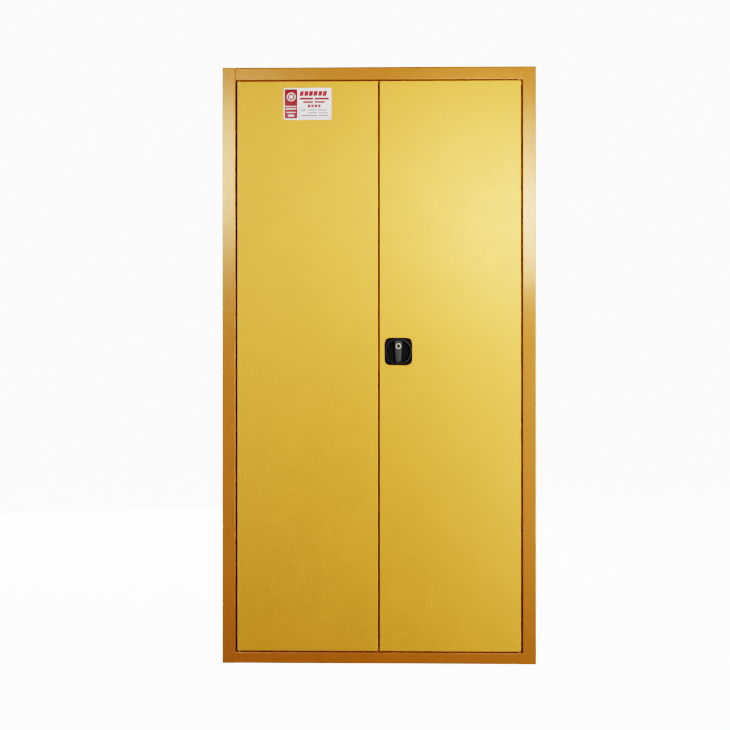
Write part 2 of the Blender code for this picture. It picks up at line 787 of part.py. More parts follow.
def build_door(side, door):
    word = "left" if side < 0 else "right"
    inner, outer = side * DOOR_INNER_EDGE, side * DOOR_OUTER_EDGE
    skin = pan(
        f"door_{word}_skin",
        (min(inner, outer), FRONT, DOOR_BOTTOM),
        (max(inner, outer), DOOR_BACK, DOOR_TOP),
        Vector((0, 1, 0)),
        DOOR_LIP,
        DOOR_PAINT,
        door,
    )
    for end in ("bottom", "top"):
        cut(skin, build_pivot(side, end, door))
    middle = side * DOOR_MIDDLE_X
    near = FRONT + SHEET + CLEARANCE
    far = near + STIFFENER_DEPTH
    half = STIFFENER_WIDTH / 2
    path = [
        (middle - half - STIFFENER_FLANGE, near),
        (middle - half, near),
        (middle - half, far),
        (middle + half, far),
        (middle + half, near),
        (middle + half + STIFFENER_FLANGE, near),
    ]
    low = DOOR_BOTTOM + SHEET + STIFFENER_END_GAP
    high = DOOR_TOP - SHEET - STIFFENER_END_GAP
    folded_sheet(f"door_{word}_stiffener", path, "Z", low, high, INNER_PAINT, door)
    return skin


def build_lap_strip(door):
    tip = DOOR_INNER_EDGE - LAP_TIP_GAP
    low = (tip - LAP_WIDTH, DOOR_BACK + CLEARANCE, OPENING_BOTTOM + LAP_END_BOTTOM)
    high = (tip, DOOR_BACK + CLEARANCE + SHEET, OPENING_TOP - LAP_END_TOP)
    block("door_left_lap_strip", low, high, INNER_PAINT, door, edge=SHEET_EASE)


def build_label(door):
    x_low, x_high = -LABEL_WIDTH / 2, LABEL_WIDTH / 2
    z_low, z_high = -LABEL_HEIGHT / 2, LABEL_HEIGHT / 2
    outline = []
    corners = (
        (x_high - LABEL_CORNER, z_high - LABEL_CORNER, 0),
        (x_low + LABEL_CORNER, z_high - LABEL_CORNER, 90),
        (x_low + LABEL_CORNER, z_low + LABEL_CORNER, 180),
        (x_high - LABEL_CORNER, z_low + LABEL_CORNER, 270),
    )
    for x, z, first in corners:
        for step in range(LABEL_STEPS + 1):
            angle = math.radians(first + 90 * step / LABEL_STEPS)
            outline.append((x + LABEL_CORNER * math.cos(angle), z + LABEL_CORNER * math.sin(angle)))
    middle = (
        LABEL_LEFT + LABEL_WIDTH / 2,
        FRONT - CLEARANCE - LABEL_THICKNESS / 2,
        LABEL_TOP - LABEL_HEIGHT / 2,
    )
    flat_piece("label_plate", [outline], LABEL_THICKNESS, middle, LABEL_FILM, door)


def guide(name, x, depth, z, finish, parent, cutter):
    """Block welded behind the skin that a rod or bolt runs through."""
    low = (x - GUIDE_WIDTH / 2, FRONT + SHEET + CLEARANCE, z - GUIDE_HEIGHT / 2)
    high = (x + GUIDE_WIDTH / 2, FRONT + depth, z + GUIDE_HEIGHT / 2)
    made = block(name, low, high, finish, parent, edge=GUIDE_EASE)
    cut(made, cutter)


def build_bolt(end, door, skin):
    """Slide bolt that holds the left door to the frame, and the guide it runs in."""
    up = 1 if end == "top" else -1
    edge = DOOR_TOP if end == "top" else DOOR_BOTTOM
    y = FRONT + BOLT_DEPTH
    far = edge - up * ROD_END_INSET
    near = far - up * BOLT_LENGTH
    axis = empty(f"door_bolt_{end}_axis", (BOLT_X, y, near), door)
    low = min(near, far)
    profile = [
        (0.0, BOLT_LENGTH),
        (BOLT_RADIUS - BOLT_CHAMFER, BOLT_LENGTH),
        (BOLT_RADIUS, BOLT_LENGTH - BOLT_CHAMFER),
        (BOLT_RADIUS, BOLT_CHAMFER),
        (BOLT_RADIUS - BOLT_CHAMFER, 0.0),
        (0.0, 0.0),
    ]
    bolt = turned(f"door_bolt_{end}", profile, (BOLT_X, y, low), STEEL, axis, steps=BOLT_STEPS)
    knob_reach = BOLT_KNOB_END - BOLT_DEPTH
    knob = [
        (0.0, knob_reach),
        (BOLT_KNOB_RADIUS - BOLT_CHAMFER, knob_reach),
        (BOLT_KNOB_RADIUS, knob_reach - BOLT_CHAMFER),
        (BOLT_KNOB_RADIUS, knob_reach - BOLT_KNOB_THICKNESS),
        (BOLT_KNOB_NECK, knob_reach - BOLT_KNOB_UNDERCUT),
        (BOLT_KNOB_NECK, 0.0),
        (0.0, 0.0),
    ]
    knob_place = (BOLT_X, y, edge - up * BOLT_KNOB_SETBACK)
    backwards = (-math.pi / 2, 0.0, 0.0)
    stud = turned(f"door_bolt_{end}_knob", knob, knob_place, None, turn=backwards, steps=BOLT_STEPS)
    join(bolt, stud)
    smooth(bolt)
    low, high = edge - EDGE_CUT, edge + EDGE_CUT
    cut(skin, round_cutter(f"bolt_hole_{end}", BOLT_HOLE, BOLT_X, y, low, high))
    level = edge - up * GUIDE_DISTANCE
    low, high = level - GUIDE_CUT, level + GUIDE_CUT
    hole = round_cutter(f"bolt_guide_hole_{end}", BOLT_HOLE, BOLT_X, y, low, high)
    guide(f"bolt_guide_{end}", BOLT_X, GUIDE_DEPTH, level, NYLON, door, hole)


# ---------------------------------------------------------------- handle and latch


def superellipse(half, exponent, count):
    points = []
    for step in range(count):
        angle = 2 * math.pi * step / count
        c, s = math.cos(angle), math.sin(angle)
        radius = half / (abs(c) ** exponent + abs(s) ** exponent) ** (1 / exponent)
        points.append((radius * c, radius * s))
    return points


def build_handle_housing(door, skin):
    """Plate with a round finger dish sunk through the door."""
    front = -PLATE_PROUD
    thickness = PLATE_PROUD - CLEARANCE
    middle = (HANDLE_X, FRONT + front + thickness / 2, HANDLE_Z)
    plate = flat_piece(
        "handle_housing",
        [superellipse(PLATE_HALF, PLATE_EXPONENT, PLATE_POINTS)],
        thickness,
        middle,
        BLACK_PLASTIC,
        door,
    )
    plate = as_mesh(plate, BLACK_PLASTIC)
    soften_front(plate, PLATE_EDGE, PLATE_EDGE_STEPS)
    axis = (HANDLE_X, FRONT, HANDLE_Z)
    cup_outer = DISH_RADIUS + DISH_WALL
    cup = rod_profile(cup_outer, PLATE_PROUD / 2, -(DISH_DEPTH + DISH_WALL))
    join(plate, turned("dish_cup", cup, axis, None, turn=UPRIGHT, steps=ROUND_STEPS))
    rim_depth = DISH_RIM_RADIUS - DISH_RADIUS
    hollow = [
        (0.0, PLATE_PROUD + CUT_OVERRUN),
        (DISH_RIM_RADIUS, PLATE_PROUD + CUT_OVERRUN),
        (DISH_RIM_RADIUS, PLATE_PROUD),
        (DISH_RADIUS, PLATE_PROUD - rim_depth),
    ]
    for step in range(BEND_STEPS + 1):
        angle = math.pi / 2 * step / BEND_STEPS
        radius = DISH_RADIUS - DISH_FILLET * (1 - math.cos(angle))
        hollow.append((radius, -DISH_DEPTH + DISH_FILLET * (1 - math.sin(angle))))
    hollow.append((0.0, -DISH_DEPTH))
    cut(plate, turned("dish_hollow", hollow, axis, None, turn=UPRIGHT, steps=ROUND_STEPS))
    hole = rod_profile(SPINDLE_HOLE, 0.0, -(DISH_DEPTH + DISH_WALL + CUT_OVERRUN))
    cut(plate, turned("dish_spindle_hole", hole, axis, None, turn=UPRIGHT))
    smooth(plate)
    opening = rod_profile(DOOR_DISH_HOLE, EDGE_CUT, -EDGE_CUT)
    cut(skin, turned("door_dish_hole", opening, axis, None, turn=UPRIGHT, steps=ROUND_STEPS))


def lever_outline():
    """Tapered bar with ends rounded to the dish."""
    outline = []
    for width, middle in ((LEVER_TOP_WIDTH, 90), (LEVER_BOTTOM_WIDTH, 270)):
        half = math.degrees(math.asin(width / 2 / LEVER_REACH))
        for step in range(ARC_STEPS // 2 + 1):
            angle = math.radians(middle - half + 2 * half * step / (ARC_STEPS // 2))
            outline.append((LEVER_REACH * math.cos(angle), LEVER_REACH * math.sin(angle)))
    return outline


def build_handle(handle, lock):
    middle_y = FRONT - LEVER_FRONT + LEVER_THICKNESS / 2
    middle = (HANDLE_X, middle_y, HANDLE_Z)
    lever = flat_piece("handle_lever", [lever_outline()], LEVER_THICKNESS, middle, LEVER_PLASTIC, handle)
    lever = as_mesh(lever, LEVER_PLASTIC)
    ease = lever.modifiers.new("eased_edges", "BEVEL")
    ease.width = LEVER_EDGE
    ease.segments = 2
    ease.limit_method = "ANGLE"
    ease.angle_limit = LEVER_EASED_ANGLE
    lock_axis = (HANDLE_X, FRONT, HANDLE_Z + LOCK_OFFSET)
    bore = rod_profile(LOCK_BORE_RADIUS, LEVER_FRONT + CUT_OVERRUN, LEVER_FRONT - LOCK_PLUG_DEPTH)
    cut(lever, turned("lock_bore", bore, lock_axis, None, turn=UPRIGHT, steps=ROUND_STEPS // 2))
    smooth(lever)

    start, end = FRONT + SPINDLE_START, FRONT + SPINDLE_END
    half = SPINDLE_SIDE / 2
    low = (HANDLE_X - half, start, HANDLE_Z - half)
    high = (HANDLE_X + half, end, HANDLE_Z + half)
    block("handle_spindle", low, high, STEEL, handle, edge=SPINDLE_EASE)

    front = LEVER_FRONT + CLEARANCE
    crown = front + LOCK_BEZEL_HEIGHT
    bezel = [
        (LOCK_BEZEL_INNER, crown),
        (LOCK_BEZEL_RADIUS - LOCK_BEZEL_CHAMFER, crown),
        (LOCK_BEZEL_RADIUS, crown - LOCK_BEZEL_CHAMFER),
        (LOCK_BEZEL_RADIUS, front),
        (LOCK_BEZEL_INNER, front),
    ]
    smooth(turned("lock_bezel", bezel, lock_axis, CHROME, handle, UPRIGHT, ROUND_STEPS, ring=True))
    face = HANDLE_PROUD
    plug = rod_profile(LOCK_PLUG_RADIUS, face, LEVER_FRONT - LOCK_PLUG_DEPTH + CLEARANCE)
    cylinder = turned("lock_cylinder", plug, lock_axis, CHROME, lock, UPRIGHT, ROUND_STEPS // 2)
    reach = Vector((KEYWAY_WIDTH / 2, 0.0, KEYWAY_HEIGHT / 2))
    mouth = Vector(lock_axis) - Vector((0.0, face, 0.0))
    low = mouth - reach - Vector((0.0, CUT_OVERRUN, 0.0))
    high = mouth + reach + Vector((0.0, KEYWAY_DEPTH, 0.0))
    cut(cylinder, block("keyway", low, high, None))
    smooth(cylinder)


def involute_angle(radius, base):
    """Polar angle of an involute at a radius, from where it leaves its base circle."""
    if radius <= base:
        return 0.0
    roll = math.sqrt((radius / base) ** 2 - 1)
    return roll - math.atan(roll)


def pinion_outline():
    base = PITCH_RADIUS * math.cos(PRESSURE_ANGLE)
    root = PITCH_RADIUS - DEDENDUM
    tip = PITCH_RADIUS + ADDENDUM
    half_tooth = (math.pi * MODULE / 2 - BACKLASH) / (2 * PITCH_RADIUS)
    at_pitch = involute_angle(PITCH_RADIUS, base)
    radii = [root] + [base + (tip - base) * step / (FLANK_POINTS - 1) for step in range(FLANK_POINTS)]
    outline = []
    for tooth in range(TEETH):
        middle = 2 * math.pi * tooth / TEETH
        flank = [(radius, half_tooth + at_pitch - involute_angle(radius, base)) for radius in radii]
        for radius, half in flank:
            outline.append((radius * math.cos(middle - half), radius * math.sin(middle - half)))
        for radius, half in reversed(flank):
            outline.append((radius * math.cos(middle + half), radius * math.sin(middle + half)))
    return outline


def square(side):
    half = side / 2
    return [(-half, -half), (half, -half), (half, half), (-half, half)]


def rack_outline(far, phase):
    """Flat bar from its toothed end up to its far end. Teeth face +X, the bar's middle is at 0."""
    pitch = math.pi * MODULE
    back, face = -ROD_WIDTH / 2, ROD_WIDTH / 2
    tip = face + DEDENDUM + ADDENDUM
    slope = math.tan(PRESSURE_ANGLE)
    half_tip = (pitch / 2 - BACKLASH) / 2 - ADDENDUM * slope
    half_root = (pitch / 2 - BACKLASH) / 2 + DEDENDUM * slope
    low = -pitch * (RACK_TEETH_AFTER + 1)
    outline = [(back, low), (face, low)]
    for index in range(-RACK_TEETH_AFTER, RACK_TEETH_BEFORE + 1):
        middle = pitch * (index + phase)
        outline.append((face, middle - half_root))
        outline.append((tip, middle - half_tip))
        outline.append((tip, middle + half_tip))
        outline.append((face, middle + half_root))
    outline += [
        (face, far - ROD_END_TAPER),
        (face - ROD_END_TAPER, far),
        (back + ROD_END_TAPER, far),
        (back, far - ROD_END_TAPER),
    ]
    return outline


def build_latch(door, handle, skin):
    gear_y = FRONT + GEAR_MIDDLE_DEPTH
    centre = (HANDLE_X, gear_y, HANDLE_Z)
    loops = [pinion_outline(), square(SQUARE_BORE)]
    flat_piece("latch_pinion", loops, GEAR_THICKNESS, centre, STEEL, handle)

    half, high = CASE_WIDTH / 2, CASE_HEIGHT / 2
    near, web = FRONT + SHEET + CLEARANCE, FRONT + CASE_WEB_DEPTH
    path = [
        (HANDLE_X + half, near),
        (HANDLE_X + half, web),
        (HANDLE_X - half, web),
        (HANDLE_X - half, near),
    ]
    case = folded_sheet("latch_case", path, "Z", HANDLE_Z - high, HANDLE_Z + high, STEEL, door)
    hole = rod_profile(SPINDLE_HOLE, 0.0, -(CASE_WEB_DEPTH + CUT_OVERRUN))
    axis = (HANDLE_X, FRONT, HANDLE_Z)
    cut(case, turned("case_spindle_hole", hole, axis, None, turn=UPRIGHT))

    for end in ("top", "bottom"):
        up = 1 if end == "top" else -1
        edge = DOOR_TOP if end == "top" else DOOR_BOTTOM
        reach = abs(edge - HANDLE_Z) - ROD_END_INSET
        outline = rack_outline(reach, RACK_PHASE[end])
        if end == "bottom":
            outline = [(-across, -along) for across, along in outline]
        place = (rod_x(end), gear_y, HANDLE_Z)
        slide = empty(f"lock_rod_{end}_axis", place, door)
        flat_piece(f"lock_rod_{end}", [outline], ROD_THICKNESS, place, STEEL, slide)
        wide = ROD_WIDTH + 2 * ROD_SLOT_CLEARANCE
        deep = ROD_THICKNESS + 2 * ROD_SLOT_CLEARANCE
        low, high = edge - EDGE_CUT, edge + EDGE_CUT
        cut(skin, slot_cutter(f"rod_hole_{end}", rod_x(end), gear_y, wide, deep, low, high))
        level = edge - up * GUIDE_DISTANCE
        low, high = level - GUIDE_CUT, level + GUIDE_CUT
        hole = slot_cutter(f"rod_guide_hole_{end}", rod_x(end), gear_y, wide, deep, low, high)
        guide(f"rod_guide_{end}", rod_x(end), ROD_GUIDE_DEPTH, level, NYLON, door, hole)


def build_tongue(handle):
    """Cam on the spindle's end: hangs down when unlatched, reaches behind the left door when latched."""
    half = TONGUE_WIDTH / 2
    outline = []
    for step in range(ARC_STEPS + 1):
        angle = math.pi * step / ARC_STEPS
        outline.append((half * math.cos(angle), half * math.sin(angle)))
    outline += [
        (-half, -TONGUE_LENGTH + TONGUE_CORNER),
        (-half + TONGUE_CORNER, -TONGUE_LENGTH),
        (half - TONGUE_CORNER, -TONGUE_LENGTH),
        (half, -TONGUE_LENGTH + TONGUE_CORNER),
    ]
    place = (HANDLE_X, FRONT + TONGUE_FRONT_DEPTH + TONGUE_THICKNESS / 2, HANDLE_Z)
    flat_piece("centre_tongue", [outline, square(SQUARE_BORE)], TONGUE_THICKNESS, place, STEEL, handle)


# ---------------------------------------------------------------- assembly

build_walls()
build_floor()
rail_top, rail_bottom = build_front_frame()
drill_rail(rail_top, OPENING_TOP, "top")
drill_rail(rail_bottom, OPENING_BOTTOM, "bottom")
build_shelves()

left_door = empty("left_door_axis", (-PIVOT_X, PIVOT_Y, DOOR_BOTTOM))
right_door = empty("right_door_axis", (PIVOT_X, PIVOT_Y, DOOR_BOTTOM))
handle_axis = empty("handle_axis", (HANDLE_X, FRONT, HANDLE_Z), right_door)
lock_axis = empty("lock_axis", (HANDLE_X, FRONT, HANDLE_Z + LOCK_OFFSET), handle_axis)

left_skin = build_door(-1, left_door)
build_lap_strip(left_door)
build_label(left_door)
for bolt_end in ("top", "bottom"):
    build_bolt(bolt_end, left_door, left_skin)

right_skin = build_door(1, right_door)
build_handle_housing(right_door, right_skin)
build_handle(handle_axis, lock_axis)
build_latch(right_door, handle_axis, right_skin)
build_tongue(handle_axis)
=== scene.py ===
"""Looks of the two-door steel storage cabinet: paint, plastic, fittings, label print and studio.

Frame: +X to the right seen from the front, +Y to the back, +Z up, in metres.
The cabinet stands on z = 0.
"""

import math

import bmesh
import bpy
from mathutils import Matrix, Vector, noise


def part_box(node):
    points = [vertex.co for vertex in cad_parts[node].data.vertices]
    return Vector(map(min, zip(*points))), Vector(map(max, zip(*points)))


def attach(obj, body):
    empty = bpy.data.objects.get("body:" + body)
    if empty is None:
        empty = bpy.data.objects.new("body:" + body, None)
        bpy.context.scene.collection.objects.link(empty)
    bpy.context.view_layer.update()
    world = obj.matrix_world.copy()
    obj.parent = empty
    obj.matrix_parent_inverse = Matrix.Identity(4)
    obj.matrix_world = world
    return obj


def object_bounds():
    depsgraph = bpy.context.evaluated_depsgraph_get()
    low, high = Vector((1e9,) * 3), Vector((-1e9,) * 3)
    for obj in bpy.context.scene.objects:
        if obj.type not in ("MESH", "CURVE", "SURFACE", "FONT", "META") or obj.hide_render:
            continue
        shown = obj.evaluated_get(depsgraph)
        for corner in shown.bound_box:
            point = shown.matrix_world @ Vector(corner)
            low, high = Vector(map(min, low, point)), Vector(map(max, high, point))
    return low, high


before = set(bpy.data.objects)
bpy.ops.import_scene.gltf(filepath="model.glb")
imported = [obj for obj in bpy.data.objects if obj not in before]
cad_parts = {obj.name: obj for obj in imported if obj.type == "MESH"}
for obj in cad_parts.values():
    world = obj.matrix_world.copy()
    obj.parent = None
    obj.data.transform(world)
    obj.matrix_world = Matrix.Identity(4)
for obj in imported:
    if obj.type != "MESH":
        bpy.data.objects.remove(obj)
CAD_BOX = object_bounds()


# ---------------------------------------------------------------- places read from the frame

SKIN_LOW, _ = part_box("door_right_skin")
_, LEFT_SKIN_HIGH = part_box("door_left_skin")
STILE_LOW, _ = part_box("frame_stile_right")
RAIL_TOP_LOW, RAIL_TOP_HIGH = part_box("frame_rail_top")
RAIL_BOTTOM_LOW, RAIL_BOTTOM_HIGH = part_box("frame_rail_bottom")
PLATE_LOW, PLATE_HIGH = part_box("handle_housing")
LEVER_LOW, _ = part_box("handle_lever")
BEZEL_LOW, BEZEL_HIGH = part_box("lock_bezel")
LABEL_LOW, LABEL_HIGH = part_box("label_plate")
CASE_LOW, CASE_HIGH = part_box("latch_case")
_, TONGUE_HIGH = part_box("centre_tongue")
LAP_LOW, LAP_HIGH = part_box("door_left_lap_strip")

FRONT = SKIN_LOW.y
MIDDLE_Z = (CAD_BOX[0].z + CAD_BOX[1].z) / 2
HANDLE = Vector(((PLATE_LOW.x + PLATE_HIGH.x) / 2, FRONT, (PLATE_LOW.z + PLATE_HIGH.z) / 2))
LOCK = (BEZEL_LOW + BEZEL_HIGH) / 2
BEZEL_RADIUS = (BEZEL_HIGH.x - BEZEL_LOW.x) / 2


# ---------------------------------------------------------------- shader building

MIX_COLOUR_INPUTS = (6, 7)
MIX_COLOUR_OUTPUT = 2


class Shader:
    """A node material under construction: Principled BSDF, object coordinates and node makers."""

    def __init__(self, name):
        self.material = bpy.data.materials.new(name)
        self.material.use_nodes = True
        self.nodes = self.material.node_tree.nodes
        self.links = self.material.node_tree.links
        self.surface = self.nodes["Principled BSDF"]
        self.place = self.nodes.new("ShaderNodeTexCoord").outputs["Object"]

    def set(self, **values):
        for name, value in values.items():
            socket = self.surface.inputs[name.replace("_", " ")]
            socket.default_value = (*value, 1.0) if isinstance(value, tuple) else value

    def link(self, start, end):
        self.links.new(start, end)

    def stretched(self, scale):
        """Object coordinates scaled by a different factor along each axis."""
        node = self.nodes.new("ShaderNodeMapping")
        node.inputs["Scale"].default_value = scale
        self.link(self.place, node.inputs["Vector"])
        return node.outputs["Vector"]

    def noise(self, scale, detail=2.0, roughness=0.5, distortion=0.0, place=None):
        node = self.nodes.new("ShaderNodeTexNoise")
        node.inputs["Scale"].default_value = scale
        node.inputs["Detail"].default_value = detail
        node.inputs["Roughness"].default_value = roughness
        node.inputs["Distortion"].default_value = distortion
        self.link(place or self.place, node.inputs["Vector"])
        return node.outputs["Fac"]

    def cells(self, scale, output="Distance"):
        node = self.nodes.new("ShaderNodeTexVoronoi")
        node.inputs["Scale"].default_value = scale
        self.link(self.place, node.inputs["Vector"])
        return node.outputs[output]

    def map(self, value, low, high, to_low, to_high):
        node = self.nodes.new("ShaderNodeMapRange")
        limits = (("From Min", low), ("From Max", high), ("To Min", to_low), ("To Max", to_high))
        for name, limit in limits:
            node.inputs[name].default_value = limit
        self.link(value, node.inputs["Value"])
        return node.outputs["Result"]

    def math(self, operation, first, second):
        node = self.nodes.new("ShaderNodeMath")
        node.operation = operation
        for socket, value in zip(node.inputs, (first, second)):
            if isinstance(value, (int, float)):
                socket.default_value = value
            else:
                self.link(value, socket)
        return node.outputs["Value"]

    def axis(self, name):
        node = self.nodes.new("ShaderNodeSeparateXYZ")
        self.link(self.place, node.inputs["Vector"])
        return node.outputs[name]

    def near(self, point, reach):
        """1 at a point, falling to 0 at a distance."""
        node = self.nodes.new("ShaderNodeVectorMath")
        node.operation = "DISTANCE"
        node.inputs[1].default_value = point
        self.link(self.place, node.inputs[0])
        return self.map(node.outputs["Value"], 0.0, reach, 1.0, 0.0)

    def blend(self, share, first, second):
        """Colour that runs from the first to the second as share runs from 0 to 1."""
        node = self.nodes.new("ShaderNodeMix")
        node.data_type = "RGBA"
        self.link(share, node.inputs["Factor"])
        for index, colour in zip(MIX_COLOUR_INPUTS, (first, second)):
            if isinstance(colour, tuple):
                node.inputs[index].default_value = (*colour, 1.0)
            else:
                self.link(colour, node.inputs[index])
        return node.outputs[MIX_COLOUR_OUTPUT]

    def colour(self, value):
        self.link(value, self.surface.inputs["Base Color"])

    def rough(self, value):
        self.link(value, self.surface.inputs["Roughness"])

    def bump(self, *layers, socket="Normal"):
        """Stack of bump layers, each (height, strength, distance)."""
        below = None
        for height, strength, distance in layers:
            node = self.nodes.new("ShaderNodeBump")
            node.inputs["Strength"].default_value = strength
            node.inputs["Distance"].default_value = distance
            self.link(height, node.inputs["Height"])
            if below:
                self.link(below, node.inputs["Normal"])
            below = node.outputs["Normal"]
        self.link(below, self.surface.inputs[socket])


def shade(colour, factor):
    return tuple(channel * factor for channel in colour)


# ---------------------------------------------------------------- materials

NOISE_BAND = (0.3, 0.7)

PAINT = (0.80, 0.350, 0.030)
FLAKE_TONE = (0.95, 0.56, 0.12)
FRAME_TONE = (0.45, 0.144, 0.013)
FRAME_SPECULAR_TINT = (1.0, 0.66, 0.30)
ZINC_DARK = (0.52, 0.53, 0.52)
ZINC_LIGHT = (0.68, 0.68, 0.66)
NICKEL_DARK = (0.46, 0.42, 0.36)
NICKEL_LIGHT = (0.60, 0.56, 0.48)
# Colour of the painted shade round the keyway of the lock.
KEYWAY_SHADE = (0.02, 0.018, 0.015)
BRASS_DARK = (0.42, 0.27, 0.09)
BRASS_LIGHT = (0.70, 0.48, 0.17)
NYLON_DARK = (0.66, 0.63, 0.55)
NYLON_LIGHT = (0.80, 0.79, 0.74)

HANDLED_REACH = 0.16
HANDLED_POLISH = 0.09
# Height over the floor up to which the frame paint carries painted shade.
FLOOR_SHADE_HEIGHT = 0.30
KEYWAY_SHADE_REACH = 0.0075
FRAME_ROUGHNESS = 0.24
FRAME_RUB = 0.03
PLASTIC_RUB = 0.14
PLASTIC_WEAR_BAND = 0.15
PRINT_ROUGHNESS = 0.34
PRINT_SCUFF = 0.18


def door_paint():
    """Textured powder coat with metal flakes, handled smooth around the turn handle."""
    made = Shader("door_paint_finish")
    grain = made.noise(scale=280.0, detail=2.0, roughness=0.55, distortion=0.3)
    flakes = made.noise(scale=210.0, detail=3.0, roughness=0.6)
    pits = made.cells(scale=420.0)
    sheet_wave = made.noise(scale=2.2, detail=1.0)
    tone = made.map(made.noise(scale=5.0, detail=3.0), *NOISE_BAND, 0.0, 1.0)
    broad = made.blend(tone, shade(PAINT, 0.97), PAINT)
    fleck = made.map(flakes, 0.50, 0.66, 0.0, 0.07)
    made.colour(made.blend(fleck, broad, FLAKE_TONE))
    touched = made.near(HANDLE, HANDLED_REACH)
    handled = made.math("MULTIPLY", touched, made.noise(scale=22.0, detail=4.0))
    patchy = made.map(made.noise(scale=14.0, detail=5.0, roughness=0.6), *NOISE_BAND, -0.03, 0.03)
    sparkle = made.map(flakes, 0.36, 0.64, 0.37, 0.57)
    dry = made.math("ADD", sparkle, patchy)
    made.rough(made.math("SUBTRACT", dry, made.math("MULTIPLY", handled, HANDLED_POLISH)))
    made.set(Metallic=0.50, Specular_IOR_Level=0.25, Coat_Weight=0.42, Coat_Roughness=0.37)
    made.bump((sheet_wave, 0.25, 0.006), (grain, 0.45, 0.0013), (pits, 0.20, 0.0005))
    made.bump((sheet_wave, 0.25, 0.006), (flakes, 0.6, 0.0015), socket="Coat Normal")
    return made.material


def gloss_paint(name, tone, roughness, floor_shade):
    """Smooth gloss powder coat with orange peel, rubbed, and darkened in clouds towards the floor
    as painted shade.
    """
    made = Shader(name)
    peel = made.noise(scale=120.0, detail=1.0, roughness=0.4)
    blotch = made.noise(scale=9.0, detail=2.0, roughness=0.5)
    even = made.map(blotch, *NOISE_BAND, 0.0, 1.0)
    fresh = made.blend(even, shade(tone, 0.975), shade(tone, 1.015))
    # Painted shade: the colour darkens in clouds towards the floor.
    low = made.map(made.axis("Z"), 0.0, FLOOR_SHADE_HEIGHT, floor_shade, 0.0)
    cloud = made.map(made.noise(scale=35.0, detail=5.0, roughness=0.7), 0.25, 0.6, 0.35, 1.0)
    floor_shade_mask = made.math("MULTIPLY", low, cloud)
    made.colour(made.blend(floor_shade_mask, fresh, shade(tone, 0.45)))
    rub = made.noise(scale=45.0, detail=4.0, roughness=0.6)
    made.rough(made.map(rub, 0.3, 0.75, roughness, roughness + FRAME_RUB))
    made.set(IOR=1.70, Specular_IOR_Level=1.0, Specular_Tint=FRAME_SPECULAR_TINT)
    made.bump((made.noise(scale=3.0, detail=1.0), 0.2, 0.003), (peel, 0.16, 0.0006))
    return made.material


def inner_paint():
    """Same coat, thinner and drier inside, with brush-by marks from stored cans."""
    made = Shader("inner_paint_finish")
    cloud = made.noise(scale=7.0, detail=4.0, roughness=0.6)
    blotch = made.map(cloud, *NOISE_BAND, 0.0, 1.0)
    fresh = made.blend(blotch, shade(PAINT, 0.80), shade(PAINT, 0.90))
    lengthways = made.stretched((30.0, 90.0, 90.0))
    scuff = made.noise(scale=1.0, detail=6.0, roughness=0.7, distortion=0.4, place=lengthways)
    marks = made.map(scuff, 0.64, 0.70, 0.0, 0.35)
    made.colour(made.blend(marks, fresh, shade(PAINT, 0.42)))
    made.rough(made.map(scuff, *NOISE_BAND, 0.40, 0.58))
    made.bump((made.noise(scale=240.0, detail=2.0), 0.35, 0.0008))
    return made.material


def zinc_steel():
    """Zinc-plated steel: faint spangle, rolling lines and handling scratches."""
    made = Shader("zinc_steel_finish")
    spangle = made.cells(scale=160.0, output="Color")
    grey = made.nodes.new("ShaderNodeRGBToBW")
    made.link(spangle, grey.inputs["Color"])
    made.colour(made.blend(grey.outputs["Val"], ZINC_DARK, ZINC_LIGHT))
    upwards = made.stretched((900.0, 900.0, 25.0))
    rolled = made.noise(scale=1.0, detail=5.0, roughness=0.7, place=upwards)
    made.rough(made.map(rolled, *NOISE_BAND, 0.26, 0.48))
    made.set(Metallic=1.0)
    made.bump((rolled, 0.25, 0.0002), (made.noise(scale=70.0, detail=3.0), 0.15, 0.0004))
    return made.material


def moulded(name, tone, worn, roughness, grain_scale, wear_from, shine=0.4):
    """Moulded plastic with a spark-eroded grain, rubbed lighter in patches."""
    made = Shader(name)
    grain = made.noise(grain_scale, detail=2.0, roughness=0.6)
    rub = made.noise(scale=60.0, detail=6.0, roughness=0.7, distortion=0.5)
    lighter = made.map(rub, wear_from, wear_from + PLASTIC_WEAR_BAND, 0.0, 0.6)
    made.colour(made.blend(lighter, tone, worn))
    made.rough(made.map(rub, *NOISE_BAND, roughness, roughness + PLASTIC_RUB))
    made.set(Specular_IOR_Level=shine)
    made.bump((grain, 0.35, 0.00012), (made.noise(scale=25.0, detail=2.0), 0.10, 0.0006))
    return made.material


def chrome():
    """Satin nickel plating with turning lines and key scratches, darkened round the key slot as
    painted shade of the keyway.
    """
    made = Shader("chrome_finish")
    around = made.stretched((2400.0, 300.0, 500.0))
    scratch = made.noise(scale=1.0, detail=4.0, roughness=0.8, place=around)
    bright = made.blend(scratch, NICKEL_DARK, NICKEL_LIGHT)
    # Painted shade: the colour darkens towards the middle of the lock, round the keyway.
    keyway_shade = made.map(made.near(LOCK, KEYWAY_SHADE_REACH), 0.10, 0.32, 0.0, 0.95)
    made.colour(made.blend(keyway_shade, bright, KEYWAY_SHADE))
    made.rough(made.map(scratch, *NOISE_BAND, 0.34, 0.52))
    made.set(Metallic=1.0)
    made.bump((scratch, 0.12, 0.00008))
    return made.material


def brass():
    """Bare brass, tarnished in patches."""
    made = Shader("brass_finish")
    tarnish = made.noise(scale=180.0, detail=4.0, roughness=0.6)
    made.colour(made.blend(tarnish, BRASS_DARK, BRASS_LIGHT))
    made.rough(made.map(tarnish, *NOISE_BAND, 0.25, 0.50))
    made.set(Metallic=1.0)
    made.bump((made.noise(scale=1500.0, detail=2.0), 0.2, 0.00006))
    return made.material


